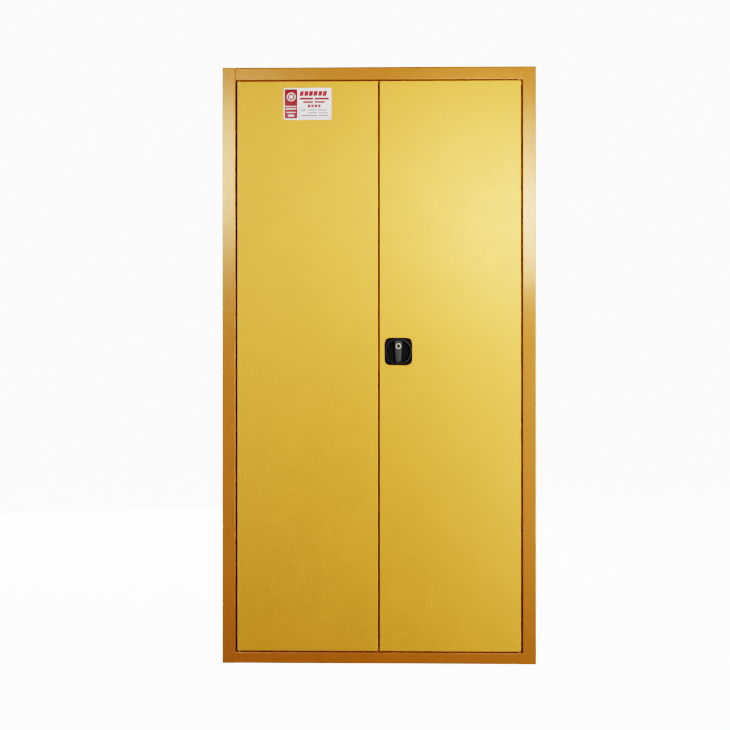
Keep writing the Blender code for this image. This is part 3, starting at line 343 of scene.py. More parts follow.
def nylon():
    """Off-white nylon with a faint cloud and a little light passing through."""
    made = Shader("white_nylon_finish")
    cloud = made.noise(scale=90.0, detail=3.0)
    made.colour(made.blend(cloud, NYLON_DARK, NYLON_LIGHT))
    made.rough(made.map(cloud, *NOISE_BAND, 0.42, 0.58))
    made.set(Subsurface_Weight=0.15, Subsurface_Scale=0.002)
    made.bump((made.noise(scale=700.0, detail=2.0), 0.25, 0.0001))
    return made.material


def printed(name, tone):
    """Ink or face film of the sticker: satin, with a faint print screen and scuffs."""
    made = Shader(name)
    screen = made.cells(scale=1400.0)
    made.colour(made.blend(screen, shade(tone, 0.93), tone))
    along = made.stretched((120.0, 120.0, 500.0))
    scuff = made.noise(scale=1.0, detail=5.0, roughness=0.7, distortion=0.3, place=along)
    made.rough(made.map(scuff, 0.3, 0.75, PRINT_ROUGHNESS, PRINT_ROUGHNESS + PRINT_SCUFF))
    made.bump((made.noise(scale=300.0, detail=2.0), 0.10, 0.0001))
    return made.material


FINISHES = {
    "door_paint": door_paint(),
    "frame_paint": gloss_paint("frame_paint_finish", FRAME_TONE, FRAME_ROUGHNESS, floor_shade=0.30),
    "inner_paint": inner_paint(),
    "zinc_steel": zinc_steel(),
    "black_plastic": moulded(
        "black_plastic_finish",
        tone=(0.003, 0.003, 0.003),
        worn=(0.010, 0.009, 0.008),
        roughness=0.50,
        grain_scale=1900.0,
        wear_from=0.64,
        shine=0.10,
    ),
    "grey_plastic": moulded(
        "grey_plastic_finish",
        tone=(0.022, 0.021, 0.019),
        worn=(0.060, 0.057, 0.050),
        roughness=0.42,
        grain_scale=1500.0,
        wear_from=0.58,
    ),
    "chrome": chrome(),
    "brass": brass(),
    "rubber": moulded(
        "rubber_finish",
        tone=(0.018, 0.017, 0.016),
        worn=(0.05, 0.05, 0.05),
        roughness=0.70,
        grain_scale=900.0,
        wear_from=0.55,
    ),
    "white_nylon": nylon(),
    "label_film": printed("label_film_finish", (1.0, 0.99, 0.97)),
}
# Dark brown rubber of the bead in the door gap: painted shade.
GAP_SHADE_BEAD_FINISH = moulded(
    "gap_shade_bead_finish",
    tone=(0.018, 0.006, 0.001),
    worn=(0.03, 0.010, 0.002),
    roughness=0.70,
    grain_scale=900.0,
    wear_from=0.60,
    shine=0.1,
)
INKS = {
    "panel_red": printed("ink_panel_red", (0.30, 0.003, 0.010)),
    "title_red": printed("ink_title_red", (0.38, 0.004, 0.012)),
    "line_red": printed("ink_line_red", (0.34, 0.016, 0.022)),
    "pale": printed("ink_pale", (0.80, 0.68, 0.64)),
    "pink": printed("ink_pink", (0.66, 0.20, 0.24)),
    "grey": printed("ink_grey", (0.14, 0.12, 0.12)),
}


# ---------------------------------------------------------------- carried-over CAD nodes

CREASE_ANGLE = math.radians(38)
WELD_DISTANCE = 0.000002
FLAT_FACE_WEIGHT = 100


def fold_shading():
    """Node group that joins touching faces, then shades bends smooth and edges crisp."""
    tree = bpy.data.node_groups.new("fold_shading", "GeometryNodeTree")
    tree.interface.new_socket("Geometry", in_out="INPUT", socket_type="NodeSocketGeometry")
    tree.interface.new_socket("Geometry", in_out="OUTPUT", socket_type="NodeSocketGeometry")
    make = tree.nodes.new
    enter, leave = make("NodeGroupInput"), make("NodeGroupOutput")
    forget = make("GeometryNodeRemoveAttribute")
    forget.inputs["Name"].default_value = "custom_normal"
    weld = make("GeometryNodeMergeByDistance")
    weld.inputs["Distance"].default_value = WELD_DISTANCE
    soft = make("GeometryNodeSetShadeSmooth")
    soft.domain = "FACE"
    crisp = make("GeometryNodeSetShadeSmooth")
    crisp.domain = "EDGE"
    crisp.inputs["Shade Smooth"].default_value = False
    angle = make("GeometryNodeInputMeshEdgeAngle")
    sharp = make("FunctionNodeCompare")
    sharp.inputs["B"].default_value = CREASE_ANGLE
    link = tree.links.new
    chain = [enter, forget, weld, soft, crisp, leave]
    for before, after in zip(chain, chain[1:]):
        link(before.outputs[0], after.inputs[0])
    link(angle.outputs["Unsigned Angle"], sharp.inputs["A"])
    link(sharp.outputs["Result"], crisp.inputs["Selection"])
    return tree


def dress_cad_nodes():
    """Finish of its record slot and the fold shading on every CAD node."""
    shading = fold_shading()
    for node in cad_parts.values():
        slot = node.material_slots[0]
        slot.material = FINISHES[slot.material.name.split(".")[0]]
        node.modifiers.new("fold_shading", "NODES").node_group = shading
        weighted = node.modifiers.new("flat_faces", "WEIGHTED_NORMAL")
        weighted.keep_sharp = True
        weighted.weight = FLAT_FACE_WEIGHT


# ---------------------------------------------------------------- piece building

ALL_SMOOTH = math.pi
MOUND_SEGMENTS = 24
MOUND_RINGS = 14
WAVER_SCALE = 2.3
WAVER_SHIFT = 17.0
RING_STEPS = 36
RING_WELD_DISTANCE = 0.000001
RIM_SEGMENTS = 3
ROUND_PROFILE = 0.5
TO_FRONT = Matrix.Rotation(math.radians(90), 3, "X")
TO_BACK = Matrix.Rotation(math.radians(-90), 3, "X")


def add_piece(name, shape, finish, body, crease=CREASE_ANGLE):
    """Shape to a smooth-shaded object with its finish, riding on a body."""
    bmesh.ops.recalc_face_normals(shape, faces=shape.faces)
    mesh = bpy.data.meshes.new(name)
    shape.to_mesh(mesh)
    shape.free()
    mesh.shade_smooth()
    mesh.set_sharp_from_angle(angle=crease)
    mesh.materials.append(finish)
    piece = bpy.data.objects.new(name, mesh)
    bpy.context.scene.collection.objects.link(piece)
    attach(piece, body)


def power(value, exponent):
    """Power that keeps the sign of the value."""
    return math.copysign(abs(value) ** exponent, value)


def add_mound(shape, centre, half, squareness, uneven=0.0):
    """Soft-cornered pad: a sphere pushed towards a box, with a little unevenness."""
    grown = bmesh.ops.create_uvsphere(
        shape, u_segments=MOUND_SEGMENTS, v_segments=MOUND_RINGS, radius=1.0
    )["verts"]
    for vertex in grown:
        point = vertex.co
        bent = Vector([power(part, squareness) * size for part, size in zip(point, half)])
        waver = noise.noise(point * WAVER_SCALE + Vector(centre) * WAVER_SHIFT)
        vertex.co = Vector(centre) + bent * (1.0 + uneven * waver)


def sweep_rings(shape, rings, centre, turn):
    """Turned skin through rings of (radius at an angle, height along the axis), first to last."""
    rows = []
    for radius_at, height in rings:
        row = []
        for step in range(RING_STEPS):
            angle = 2 * math.pi * step / RING_STEPS
            radius = radius_at(angle)
            local = Vector((radius * math.cos(angle), radius * math.sin(angle), height))
            row.append(shape.verts.new(Vector(centre) + turn @ local))
        rows.append(row)
    for lower, upper in zip(rows, rows[1:]):
        for step in range(RING_STEPS):
            after = (step + 1) % RING_STEPS
            shape.faces.new((lower[step], lower[after], upper[after], upper[step]))
    return rows


def circle(radius):
    """Outline as a radius at an angle, for the turned shapes."""
    return lambda angle: radius


def hexagon(apothem):
    """Outline as a radius at an angle, the flats one apothem from the middle."""
    sixth = math.pi / 3
    return lambda angle: apothem / math.cos((angle + sixth / 2) % sixth - sixth / 2)


# Turned profiles are (outline, size, height) points; those of screws and rivets are shares.
SCREW_HEIGHT = 0.62
SCREW_PROFILE = (
    (circle, 1.0, 0.0),
    (circle, 1.0, 0.30),
    (circle, 0.90, 0.72),
    (circle, 0.68, 0.97),
    (circle, 0.52, 1.0),
    (hexagon, 0.38, 1.0),
    (hexagon, 0.36, 0.35),
)
RIVET_HEIGHT = 0.36
RIVET_PROFILE = (
    (circle, 1.0, 0.0),
    (circle, 0.96, 0.45),
    (circle, 0.74, 0.88),
    (circle, 0.42, 1.0),
    (circle, 0.34, 0.70),
    (circle, 0.30, 0.20),
)


def add_turned(shape, profile, seat, turn, radius=1.0, height=1.0):
    """Turned part on its seat, closed at both ends."""
    rings = [(outline(radius * size), height * rise) for outline, size, rise in profile]
    rows = sweep_rings(shape, rings, seat, turn)
    shape.faces.new(rows[0])
    shape.faces.new(rows[-1])


def add_screw(shape, seat, radius, turn):
    """Button head with a hexagon socket, on its seat."""
    add_turned(shape, SCREW_PROFILE, seat, turn, radius, radius * SCREW_HEIGHT)


def add_rivet(shape, seat, radius, turn):
    """Blind rivet head with its mandrel dimple."""
    add_turned(shape, RIVET_PROFILE, seat, turn, radius, radius * RIVET_HEIGHT)


def add_ring(name, profile, centre, turn, finish, body):
    """Ring turned from a closed profile of (radius, height) points."""
    shape = bmesh.new()
    rings = [(circle(radius), height) for radius, height in (*profile, profile[0])]
    sweep_rings(shape, rings, centre, turn)
    bmesh.ops.remove_doubles(shape, verts=shape.verts, dist=RING_WELD_DISTANCE)
    add_piece(name, shape, finish, body)


def add_prism(shape, rows):
    """Straight bar between two equal outlines, closed at both ends."""
    first, last = [[shape.verts.new(point) for point in row] for row in rows]
    count = len(first)
    for step in range(count):
        after = (step + 1) % count
        shape.faces.new((first[step], first[after], last[after], last[step]))
    shape.faces.new(first)
    shape.faces.new(last)


def rounded_outline(width, height, corner, steps=6):
    """Rectangle about the origin with round corners."""
    points = []
    for across, up, first in ((1, 1, 0), (-1, 1, 90), (-1, -1, 180), (1, -1, 270)):
        for step in range(steps + 1):
            angle = math.radians(first + 90 * step / steps)
            x = across * (width / 2 - corner) + corner * math.cos(angle)
            z = up * (height / 2 - corner) + corner * math.sin(angle)
            points.append((x, z))
    return points


def add_plate(shape, outline, centre, back, face, edge):
    """Flat plate in front of the plane y = back, its front rim rounded."""
    behind = [shape.verts.new((centre[0] + x, back, centre[1] + z)) for x, z in outline]
    rear = shape.faces.new(behind)
    grown = bmesh.ops.extrude_face_region(shape, geom=[rear], use_keep_orig=True)["geom"]
    lifted = [item for item in grown if isinstance(item, bmesh.types.BMVert)]
    bmesh.ops.translate(shape, vec=(0.0, face - back, 0.0), verts=lifted)
    chosen = set(lifted)
    rim = [item for item in shape.edges if item.verts[0] in chosen and item.verts[1] in chosen]
    bmesh.ops.bevel(
        shape, geom=rim, offset=edge, segments=RIM_SEGMENTS, affect="EDGES", profile=ROUND_PROFILE
    )


# ---------------------------------------------------------------- welded frame corners

WELD_HALF_WIDTH = 0.0065
WELD_RISE = 0.00022
WELD_SQUARENESS = 0.35
WELD_UNEVENNESS = 0.02
WELD_END_MARGIN = 0.0015
BEAD_COUNT = 7
BEAD_SETBACK = 0.006
BEAD_PITCH = 0.0028
BEAD_INSET = 0.0004
BEAD_HALF_SIZE = (0.0011, 0.0019, 0.0011)
BEAD_SQUARENESS = 0.9
BEAD_UNEVENNESS = 0.25
# Dark rubber strip behind the relief slit, painted shade in the slit.
SLIT_SHADE_STRIP_LENGTH = 0.030
SLIT_SHADE_STRIP_HEIGHT = 0.016
SLIT_SHADE_STRIP_CORNER = 0.0048
SLIT_SHADE_STRIP_SHIFT = 0.009
SLIT_SHADE_STRIP_DROP = 0.0105
SLIT_SHADE_STRIP_BACK = 0.0045
SLIT_SHADE_STRIP_DEPTH = 0.0025
SLIT_SHADE_STRIP_EDGE = 0.0005


def dress_frame_corners():
    """Ground welds over the joints of rails and stiles. The upper left one stays a plain seam."""
    joint = STILE_LOW.x
    coat = FINISHES["frame_paint"]
    corners = (
        ("top_right", joint, RAIL_TOP_LOW.z, RAIL_TOP_HIGH.z),
        ("bottom_right", joint, RAIL_BOTTOM_LOW.z, RAIL_BOTTOM_HIGH.z),
        ("bottom_left", -joint, RAIL_BOTTOM_LOW.z, RAIL_BOTTOM_HIGH.z),
    )
    for word, x, low, high in corners:
        shape = bmesh.new()
        centre = (x, FRONT, (low + high) / 2)
        half = (WELD_HALF_WIDTH, WELD_RISE, (high - low) / 2 - WELD_END_MARGIN)
        add_mound(shape, centre, half, WELD_SQUARENESS, WELD_UNEVENNESS)
        add_piece(f"corner_weld_{word}", shape, coat, "cabinet", ALL_SMOOTH)
    shape = bmesh.new()
    for side in (-1, 1):
        for z in (RAIL_TOP_LOW.z, RAIL_BOTTOM_HIGH.z):
            for step in range(BEAD_COUNT):
                y = FRONT + BEAD_SETBACK + BEAD_PITCH * step
                centre = (side * (joint - BEAD_INSET), y, z)
                add_mound(shape, centre, BEAD_HALF_SIZE, BEAD_SQUARENESS, BEAD_UNEVENNESS)
    add_piece("corner_weld_beads", shape, coat, "cabinet", ALL_SMOOTH)
    back_relief_slit(joint)


def back_relief_slit(joint):
    """Dark rubber strip behind the relief slit of the lower left corner, painted shade that keeps
    the slit dark.
    """
    shape = bmesh.new()
    centre = (-joint + SLIT_SHADE_STRIP_SHIFT, RAIL_BOTTOM_HIGH.z - SLIT_SHADE_STRIP_DROP)
    outline = rounded_outline(SLIT_SHADE_STRIP_LENGTH, SLIT_SHADE_STRIP_HEIGHT, SLIT_SHADE_STRIP_CORNER)
    back = FRONT + SLIT_SHADE_STRIP_BACK
    add_plate(shape, outline, centre, back, back - SLIT_SHADE_STRIP_DEPTH, SLIT_SHADE_STRIP_EDGE)
    # Painted shade: the dark strip blacks out the slit.
    add_piece("relief_slit_shade_strip", shape, FINISHES["rubber"], "cabinet")


# ---------------------------------------------------------------- label print

MILLIMETRE = 0.001
INK_LAYER = 0.00012
INK_SINK = 0.00005
INK_EDGE = 0.00004
INK_CORNER_LIMIT = 0.49

# Boxes on the label in millimetres from its upper left corner: x low, x high, z top, z bottom.
PANEL_BOX = (3, 43.5, 3.5, 97)
PANEL_CORNER = 4
TITLE_BOXES = [(51.5 + 14.6 * index, 51.5 + 14.6 * index + 12.6, 9.5, 25.5) for index in range(6)]
TITLE_CORNER = 1.5
TITLE_SLANT = 0.20
HEADING_BOXES = (
    (50, 94, 30.5, 37.5),
    (98, 144, 30.5, 37.5),
    (62, 94, 41.7, 48),
    (98, 131, 41.7, 48),
)
BLOCK_BOXES = [(76 + 11 * index, 76 + 11 * index + 9, 52.5, 61.5) for index in range(4)]
LINE_CORNER = 1
PANEL_LINE_BOXES = (
    (5, 41, 57, 60),
    (7, 40, 64, 68.5),
    (9, 38, 76, 79),
    (14, 33, 85, 91),
)
PANEL_LINE_CORNER = 2
UPPER_LEVEL = 2
NOTE_LINE_HEIGHT = 3.4
NOTE_LINES = (
    (54, 70, 69),
    (78, 104, 69),
    (109, 138, 69),
    (78, 106, 77.5),
    (111, 140, 77.5),
    (54, 106, 86),
    (110, 142, 86),
)
NOTE_LINE_BOXES = [(low, high, top, top + NOTE_LINE_HEIGHT) for low, high, top in NOTE_LINES]
NOTE_FRAME_BOXES = {
    "top": (50, 148, 64, 65.3),
    "bottom": (50, 148, 95, 96.3),
    "left": (49, 50.3, 65, 95.3),
    "right": (147.7, 149, 65, 95.3),
}
NOTE_FRAME_CORNER = 0.6
EMBLEM_PLACE = (24, 28)
EMBLEM_INNER_RADIUS = 0.0105
EMBLEM_OUTER_RADIUS = 0.0140
EMBLEM_CORE_APOTHEM = 0.0060


def add_mark(name, ink, box, corner, level=1, slant=0.0):
    """Flat mark of ink in a box of the label."""
    x_low, x_high, z_top, z_bottom = box
    width, height = (x_high - x_low) * MILLIMETRE, (z_bottom - z_top) * MILLIMETRE
    centre = (
        LABEL_LOW.x + (x_low + x_high) / 2 * MILLIMETRE,
        LABEL_HIGH.z - (z_top + z_bottom) / 2 * MILLIMETRE,
    )
    limit = INK_CORNER_LIMIT
    corner_size = min(corner * MILLIMETRE, height * limit, width * limit)
    outline = [(x + slant * z, z) for x, z in rounded_outline(width, height, corner_size)]
    shape = bmesh.new()
    face = LABEL_LOW.y - INK_LAYER * level
    add_plate(shape, outline, centre, LABEL_LOW.y + INK_SINK, face, INK_EDGE)
    add_piece(name, shape, INKS[ink], "left_door")


def add_marks(name, ink, boxes, corner, level=1, slant=0.0):
    """Numbered marks, one in each box."""
    for number, box in enumerate(boxes, 1):
        add_mark(f"{name}_{number}", ink, box, corner, level, slant)


def dress_label():
    """Generic print: a dark panel with an emblem, slanted title blocks, bars and a note frame."""
    add_mark("label_panel", "panel_red", PANEL_BOX, PANEL_CORNER)
    add_marks("label_title_block", "title_red", TITLE_BOXES, TITLE_CORNER, slant=TITLE_SLANT)
    add_marks("label_heading", "line_red", HEADING_BOXES, LINE_CORNER)
    add_marks("label_block", "line_red", BLOCK_BOXES, LINE_CORNER)
    add_marks("label_panel_line", "pale", PANEL_LINE_BOXES, PANEL_LINE_CORNER, UPPER_LEVEL)
    add_marks("label_note_line", "grey", NOTE_LINE_BOXES, LINE_CORNER)
    for word, box in NOTE_FRAME_BOXES.items():
        add_mark(f"label_note_frame_{word}", "pink", box, NOTE_FRAME_CORNER)
    add_emblem()


def add_emblem():
    """Plain ring and hexagon on the dark panel."""
    across, down = EMBLEM_PLACE
    seat = Vector(
        (
            LABEL_LOW.x + across * MILLIMETRE,
            LABEL_LOW.y + INK_SINK,
            LABEL_HIGH.z - down * MILLIMETRE,
        )
    )
    thickness = INK_LAYER * UPPER_LEVEL
    ring = (
        (EMBLEM_INNER_RADIUS, 0.0),
        (EMBLEM_INNER_RADIUS, thickness),
        (EMBLEM_OUTER_RADIUS, thickness),
        (EMBLEM_OUTER_RADIUS, 0.0),
    )
    add_ring("label_emblem_ring", ring, seat, TO_FRONT, INKS["pale"], "left_door")
    core = [(hexagon, EMBLEM_CORE_APOTHEM, height) for height in (0.0, thickness)]
    shape = bmesh.new()
    add_turned(shape, core, seat, TO_FRONT)
    add_piece("label_emblem_core", shape, INKS["pale"], "left_door")


# ---------------------------------------------------------------- turn handle

# Ring profiles are (radius, height) points.
DISH_RING_PROFILE = (
    (0.0386, -0.0006),
    (0.0386, 0.00045),
    (0.0391, 0.0009),
    (0.0402, 0.0009),
    (0.0410, 0.00036),
    (0.0412, -0.0006),
)
# Dark rubber ring round the lock bezel, painted shade of the recess round the lock.
LOCK_SHADE_RING_INNER = BEZEL_RADIUS + 0.0002
LOCK_SHADE_RING_OUTER = BEZEL_RADIUS + 0.0016
LOCK_SHADE_RING_PROFILE = (
    (LOCK_SHADE_RING_INNER, -0.0004),
    (LOCK_SHADE_RING_INNER, 0.0006),
    (LOCK_SHADE_RING_OUTER - 0.0005, 0.0006),
    (LOCK_SHADE_RING_OUTER, 0.0002),
    (LOCK_SHADE_RING_OUTER, -0.0004),
)
PAD_END_MARGIN = 0.0035
PAD_CORNER_SHARE = 0.22
PAD_CORNER_STEPS = 8
PAD_HALF_WIDTH = 0.0062
PAD_FLARE = 0.0024
PAD_SINK = 0.0004
PAD_RISE = 0.0009
PAD_EDGE = 0.0007
RIB_COUNT = 5
RIB_FIRST = 0.006
RIB_PITCH = 0.0042
RIB_HALF_SIZE = (0.0040, 0.0004, 0.0008)
RIB_SQUARENESS = 0.6


def dress_handle():
    """Raised ring round the dish, pad and ribs on the lever, and a dark rubber ring round the key
    lock. The dish ring's lighter grey is partly a painted highlight on the rim; the lock ring is
    painted shade of the recess round the lock.
    """
    seat = Vector((HANDLE.x, PLATE_LOW.y, HANDLE.z))
    grey = FINISHES["grey_plastic"]
    # Raised rim of the dish in lighter grey: real geometry, and its grey is partly a painted
    # highlight on the rim.
    add_ring("dish_ring", DISH_RING_PROFILE, seat, TO_FRONT, grey, "right_door")
    dress_lever()
    seat = Vector((LOCK.x, LEVER_LOW.y, LOCK.z))
    # Painted shade: a dark ring round the lock bezel.
    rubber = FINISHES["rubber"]
    add_ring("lock_shade_ring", LOCK_SHADE_RING_PROFILE, seat, TO_FRONT, rubber, "handle")


def dress_lever():
    """Crowned pad along the lever below the lock, with grip ribs across it."""
    seat = LEVER_LOW.y
    bottom = LEVER_LOW.z + PAD_END_MARGIN
    top = LOCK.z - BEZEL_RADIUS - PAD_END_MARGIN
    length, middle = top - bottom, (top + bottom) / 2
    outline = []
    for x, z in rounded_outline(1.0, 1.0, PAD_CORNER_SHARE, PAD_CORNER_STEPS):
        half_width = PAD_HALF_WIDTH + PAD_FLARE * (z + 0.5)
        outline.append((x * 2 * half_width, z * length))
    grey = FINISHES["grey_plastic"]
    shape = bmesh.new()
    add_plate(shape, outline, (HANDLE.x, middle), seat + PAD_SINK, seat - PAD_RISE, PAD_EDGE)
    add_piece("lever_grip_pad", shape, grey, "handle")
    shape = bmesh.new()
    for step in range(RIB_COUNT):
        centre = (HANDLE.x, seat - PAD_RISE, bottom + RIB_FIRST + RIB_PITCH * step)
        add_mound(shape, centre, RIB_HALF_SIZE, RIB_SQUARENESS)
    add_piece("lever_grip_ribs", shape, grey, "handle", ALL_SMOOTH)


# ---------------------------------------------------------------- fasteners and weld marks

CASE_RIVET_INSET = 0.008
CASE_RIVET_RADIUS = 0.0032
GUIDE_SCREW_INSET = 0.0030
GUIDE_SCREW_RADIUS = 0.0022
WASHER_GAP = 0.0002
WASHER_PROFILE = (
    (0.0060, 0.0),
    (0.0095, 0.0),
    (0.0095, 0.0011),
    (0.0060, 0.0011),
)
NUT_RISE = 0.0012
NUT_PROFILE = (
    (circle, 0.0058, 0.0),
    (hexagon, 0.0065, 0.0006),
    (hexagon, 0.0065, 0.0046),
    (circle, 0.0060, 0.0052),
    (circle, 0.0034, 0.0052),
    (circle, 0.0030, 0.0038),
)


def dress_latch():
    """Rivets of the latch case, screws of the guides, and the spindle's washer and nut."""
    zinc = FINISHES["zinc_steel"]
    shape = bmesh.new()
    for x in (CASE_LOW.x + CASE_RIVET_INSET, CASE_HIGH.x - CASE_RIVET_INSET):
        for z in (CASE_LOW.z + CASE_RIVET_INSET, CASE_HIGH.z - CASE_RIVET_INSET):
            add_rivet(shape, (x, CASE_HIGH.y, z), CASE_RIVET_RADIUS, TO_BACK)
    add_piece("latch_case_rivets", shape, zinc, "right_door")
    for word, body in (("rod_guide", "right_door"), ("bolt_guide", "left_door")):
        for end in ("top", "bottom"):
            low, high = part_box(f"{word}_{end}")
            shape = bmesh.new()
            for x in (low.x + GUIDE_SCREW_INSET, high.x - GUIDE_SCREW_INSET):
                add_screw(shape, (x, high.y, (low.z + high.z) / 2), GUIDE_SCREW_RADIUS, TO_BACK)
            add_piece(f"{word}_screws_{end}", shape, zinc, body)

    seat = Vector((HANDLE.x, TONGUE_HIGH.y + WASHER_GAP, HANDLE.z))
    add_ring("spindle_washer", WASHER_PROFILE, seat, TO_BACK, zinc, "handle")
    shape = bmesh.new()
    add_turned(shape, NUT_PROFILE, seat + Vector((0.0, NUT_RISE, 0.0)), TO_BACK)
    add_piece("spindle_nut", shape, zinc, "handle")


SPOT_INSET = 0.007
SPOT_END_MARGIN = 0.05
SPOT_COUNT = 11
SPOT_DEPTH = 0.0012
SPOT_HALF_SIZE = (0.0035, 0.0003, 0.0035)
SPOT_SQUARENESS = 0.8
SPOT_UNEVENNESS = 0.1
LAP_RIVET_END_MARGIN = 0.04
LAP_RIVET_COUNT = 10
LAP_RIVET_RADIUS = 0.0020


def spread(low, high, margin, count):
    """Evenly spaced places between two ends, the first and last a margin inside them."""
    first, last = low + margin, high - margin
    return [first + (last - first) * index / (count - 1) for index in range(count)]


def dress_doors():
    """Spot-weld marks along the stiffeners, rivets along the lap strip, and a dark bead down it
    as painted shade in the door gap.
    """
    coat = FINISHES["inner_paint"]
    for word, body in (("left", "left_door"), ("right", "right_door")):
        low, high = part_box(f"door_{word}_stiffener")
        shape = bmesh.new()
        for x in (low.x + SPOT_INSET, high.x - SPOT_INSET):
            for z in spread(low.z, high.z, SPOT_END_MARGIN, SPOT_COUNT):
                centre = (x, low.y + SPOT_DEPTH, z)
                add_mound(shape, centre, SPOT_HALF_SIZE, SPOT_SQUARENESS, SPOT_UNEVENNESS)
        add_piece(f"door_{word}_spot_welds", shape, coat, body, ALL_SMOOTH)
    shape = bmesh.new()
    x = (LAP_LOW.x + LEFT_SKIN_HIGH.x) / 2
    for z in spread(LAP_LOW.z, LAP_HIGH.z, LAP_RIVET_END_MARGIN, LAP_RIVET_COUNT):
        add_rivet(shape, (x, LAP_HIGH.y, z), LAP_RIVET_RADIUS, TO_BACK)
    add_piece("lap_strip_rivets", shape, FINISHES["zinc_steel"], "left_door")
    dress_gap_shade_bead()


# Size of the dark bead that paints shade in the door gap.
GAP_BEAD_HALF_WIDTH = 0.0017
GAP_BEAD_RISE = 0.0013
GAP_BEAD_SINK = 0.0001
GAP_BEAD_END_MARGIN = 0.002
GAP_BEAD_STEPS = 10


def dress_gap_shade_bead():
    """Dark brown rubber bead down the front of the lap strip, put there as painted shade that
    darkens the gap of the doors.
    """
    outline = []
    for step in range(GAP_BEAD_STEPS + 1):
        angle = math.pi * step / GAP_BEAD_STEPS
        y = LAP_LOW.y - GAP_BEAD_RISE * math.sin(angle) + GAP_BEAD_SINK
        outline.append((GAP_BEAD_HALF_WIDTH * math.cos(angle), y))
    ends = (LAP_LOW.z + GAP_BEAD_END_MARGIN, LAP_HIGH.z - GAP_BEAD_END_MARGIN)
    shape = bmesh.new()
    add_prism(shape, [[(x, y, z) for x, y in outline] for z in ends])
    add_piece("lap_strip_shade_bead", shape, GAP_SHADE_BEAD_FINISH, "left_door")


SHELF_COUNT = 4
HEM_RADIUS = 0.0022
HEM_STEPS = 12
HEM_END_MARGIN = 0.004
HEM_SETBACK = 0.0014


def dress_shelves():
    """Rolled hem under the front edge of each shelf."""
    for index in range(1, SHELF_COUNT + 1):
        low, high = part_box(f"shelf_{index}")
        outline = []
        for step in range(HEM_STEPS):
            angle = 2 * math.pi * step / HEM_STEPS
            y = low.y + HEM_SETBACK + HEM_RADIUS + HEM_RADIUS * math.cos(angle)
            z = low.z + HEM_RADIUS + HEM_RADIUS * math.sin(angle)
            outline.append((y, z))
        ends = (low.x + HEM_END_MARGIN, high.x - HEM_END_MARGIN)
        shape = bmesh.new()
        add_prism(shape, [[(x, y, z) for y, z in outline] for x in ends])
        add_piece(f"shelf_{index}_hem", shape, FINISHES["inner_paint"], "cabinet")


# ---------------------------------------------------------------- studio

BACKDROP_RADIUS = 40.0
BACKDROP_LIGHT = 5.0
BACKDROP_DIVISIONS = 4
BACKDROP_TONE = (1.0, 1.0, 1.0)
FLOOR_SIZE = 28.0
FLOOR_LIGHT = 5.0
FLOOR_SEGMENTS = 8
FLOOR_TONE = (0.9, 0.9, 0.9)
FLOOR_DROP = 0.0004
STUDIO_ROUGHNESS = 0.9
AIR_DARK, AIR_LIGHT = 0.03, 0.10
AIR_RAMP = (-0.5, 0.6)
CAMERA_LENS = 70.0
CAMERA_SENSOR = 36.0
CAMERA_DISTANCE = 4.515
CAMERA_SIDE = 0.06
AIM_SIDE = -0.044
AIM_RISE = 0.001


def glow(name, colour, strength):
    """Evenly lit matt surface for the studio."""
    made = bpy.data.materials.new(name)
    made.use_nodes = True
    surface = made.node_tree.nodes["Principled BSDF"]
    surface.inputs["Base Color"].default_value = (*colour, 1.0)
    surface.inputs["Roughness"].default_value = STUDIO_ROUGHNESS
    surface.inputs["Emission Color"].default_value = (1.0, 1.0, 1.0, 1.0)
    surface.inputs["Emission Strength"].default_value = strength
    return made


def add_studio_piece(name, shape, material):
    """Seen by the camera only, so it neither lights nor shades the cabinet."""
    mesh = bpy.data.meshes.new(name)
    shape.to_mesh(mesh)
    shape.free()
    mesh.materials.append(material)
    thing = bpy.data.objects.new(name, mesh)
    bpy.context.scene.collection.objects.link(thing)
    thing.visible_diffuse = False
    thing.visible_glossy = False
    thing.visible_transmission = False
    thing.visible_shadow = False
    return thing


def build_studio():
    """White sphere around everything and a white floor under the cabinet."""
    shape = bmesh.new()
    bmesh.ops.create_icosphere(shape, subdivisions=BACKDROP_DIVISIONS, radius=BACKDROP_RADIUS)
    bmesh.ops.reverse_faces(shape, faces=shape.faces)
    white = glow("backdrop_white", BACKDROP_TONE, BACKDROP_LIGHT)
    backdrop = add_studio_piece("backdrop", shape, white)
    shape = bmesh.new()
    bmesh.ops.create_grid(
        shape, x_segments=FLOOR_SEGMENTS, y_segments=FLOOR_SEGMENTS, size=FLOOR_SIZE
    )
    floor = add_studio_piece("floor", shape, glow("floor_white", FLOOR_TONE, FLOOR_LIGHT))
    floor.location = (0.0, 0.0, CAD_BOX[0].z - FLOOR_DROP)


def softbox(name, place, aim, size, watts):
    """Rectangular light that faces a point and stays out of the camera's sight."""
    data = bpy.data.lights.new(name, "AREA")
    data.shape = "RECTANGLE"
    data.size, data.size_y = size
    data.energy = watts
    lamp = bpy.data.objects.new(name, data)
    lamp.location = place
    lamp.rotation_euler = (Vector(aim) - Vector(place)).to_track_quat("-Z", "Y").to_euler()
    lamp.visible_camera = False
    bpy.context.scene.collection.objects.link(lamp)


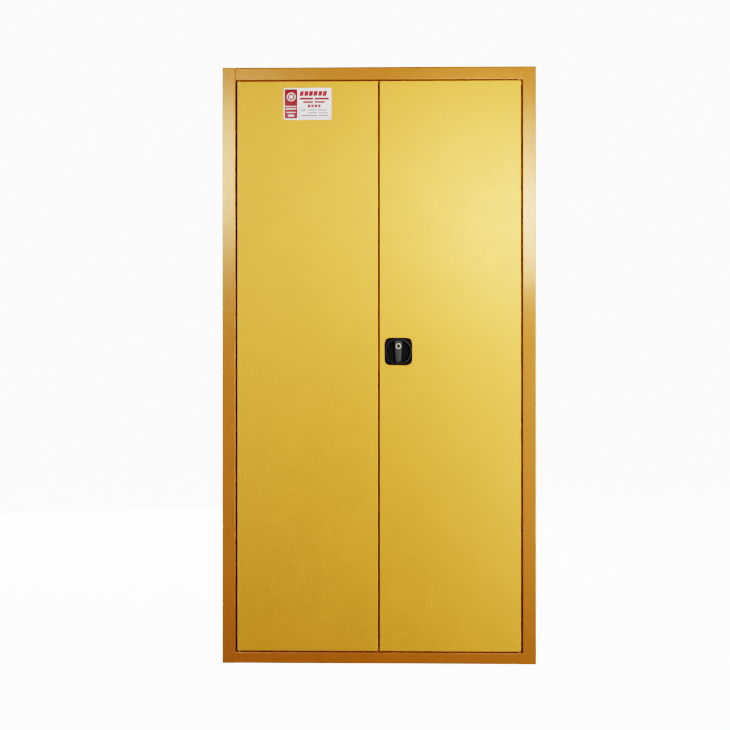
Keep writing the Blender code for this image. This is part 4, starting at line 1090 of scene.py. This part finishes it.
# Lights as (name, place, aim, (width, height), watts).
SOFTBOXES = (
    ("key_softbox", (0.42, FRONT - 1.60, 1.74), (0.38, FRONT, 1.45), (0.45, 0.45), 9.5),
    ("near_softbox", (0.52, FRONT - 0.80, 1.45), (0.50, FRONT, 1.45), (0.30, 0.35), 3.2),
    ("left_softbox", (-0.84, FRONT - 3.0, 2.00), (-0.40, FRONT, 1.50), (0.50, 0.50), 12.0),
    ("left_strip", (-1.00, FRONT - 3.0, 1.90), (-0.40, FRONT, 1.50), (0.30, 0.60), 6.4),
    ("low_right_softbox", (1.80, FRONT - 2.6, 0.80), (0.20, FRONT, 0.70), (1.0, 1.6), 84.0),
    ("low_left_softbox", (-1.80, FRONT - 2.6, 0.80), (-0.20, FRONT, 0.70), (1.0, 1.6), 18.0),
    ("back_softbox", (-1.4, 4.4, 1.5), (0.0, 0.2, 0.9), (3.0, 3.0), 300.0),
    ("right_side_softbox", (4.2, 1.6, 1.5), (0.5, 0.1, 0.9), (2.4, 3.0), 150.0),
    ("left_side_softbox", (-4.2, 1.6, 1.5), (-0.5, 0.1, 0.9), (2.4, 3.0), 80.0),
    ("roof_softbox", (0.0, 1.2, 4.4), (0.0, 0.3, 1.9), (2.0, 1.6), 60.0),
)


def build_lights():
    """The softboxes, and a dim air that brightens upwards."""
    for box in SOFTBOXES:
        softbox(*box)
    world = bpy.data.worlds.new("studio_air")
    world.use_nodes = True
    nodes, links = world.node_tree.nodes, world.node_tree.links
    place = nodes.new("ShaderNodeTexCoord")
    split = nodes.new("ShaderNodeSeparateXYZ")
    links.new(place.outputs["Generated"], split.inputs["Vector"])
    ramp = nodes.new("ShaderNodeMapRange")
    names = ("From Min", "From Max", "To Min", "To Max")
    for name, limit in zip(names, (*AIR_RAMP, AIR_DARK, AIR_LIGHT)):
        ramp.inputs[name].default_value = limit
    links.new(split.outputs["Z"], ramp.inputs["Value"])
    links.new(ramp.outputs["Result"], nodes["Background"].inputs["Strength"])
    bpy.context.scene.world = world


def build_camera():
    """Camera in front of the cabinet and the picture's tone curve."""
    data = bpy.data.cameras.new("camera")
    data.lens = CAMERA_LENS
    data.sensor_width = CAMERA_SENSOR
    camera = bpy.data.objects.new("camera", data)
    camera.location = (CAMERA_SIDE, FRONT - CAMERA_DISTANCE, MIDDLE_Z)
    aim = Vector((AIM_SIDE, FRONT, MIDDLE_Z + AIM_RISE))
    camera.rotation_euler = (aim - camera.location).to_track_quat("-Z", "Y").to_euler()
    bpy.context.scene.collection.objects.link(camera)
    bpy.context.scene.camera = camera
    view = bpy.context.scene.view_settings
    view.view_transform = "Filmic"
    view.look = "High Contrast"


# ---------------------------------------------------------------- assembly

build_camera()
build_lights()
build_studio()
dress_cad_nodes()
dress_frame_corners()
dress_label()
dress_handle()
dress_latch()
dress_doors()
dress_shelves()
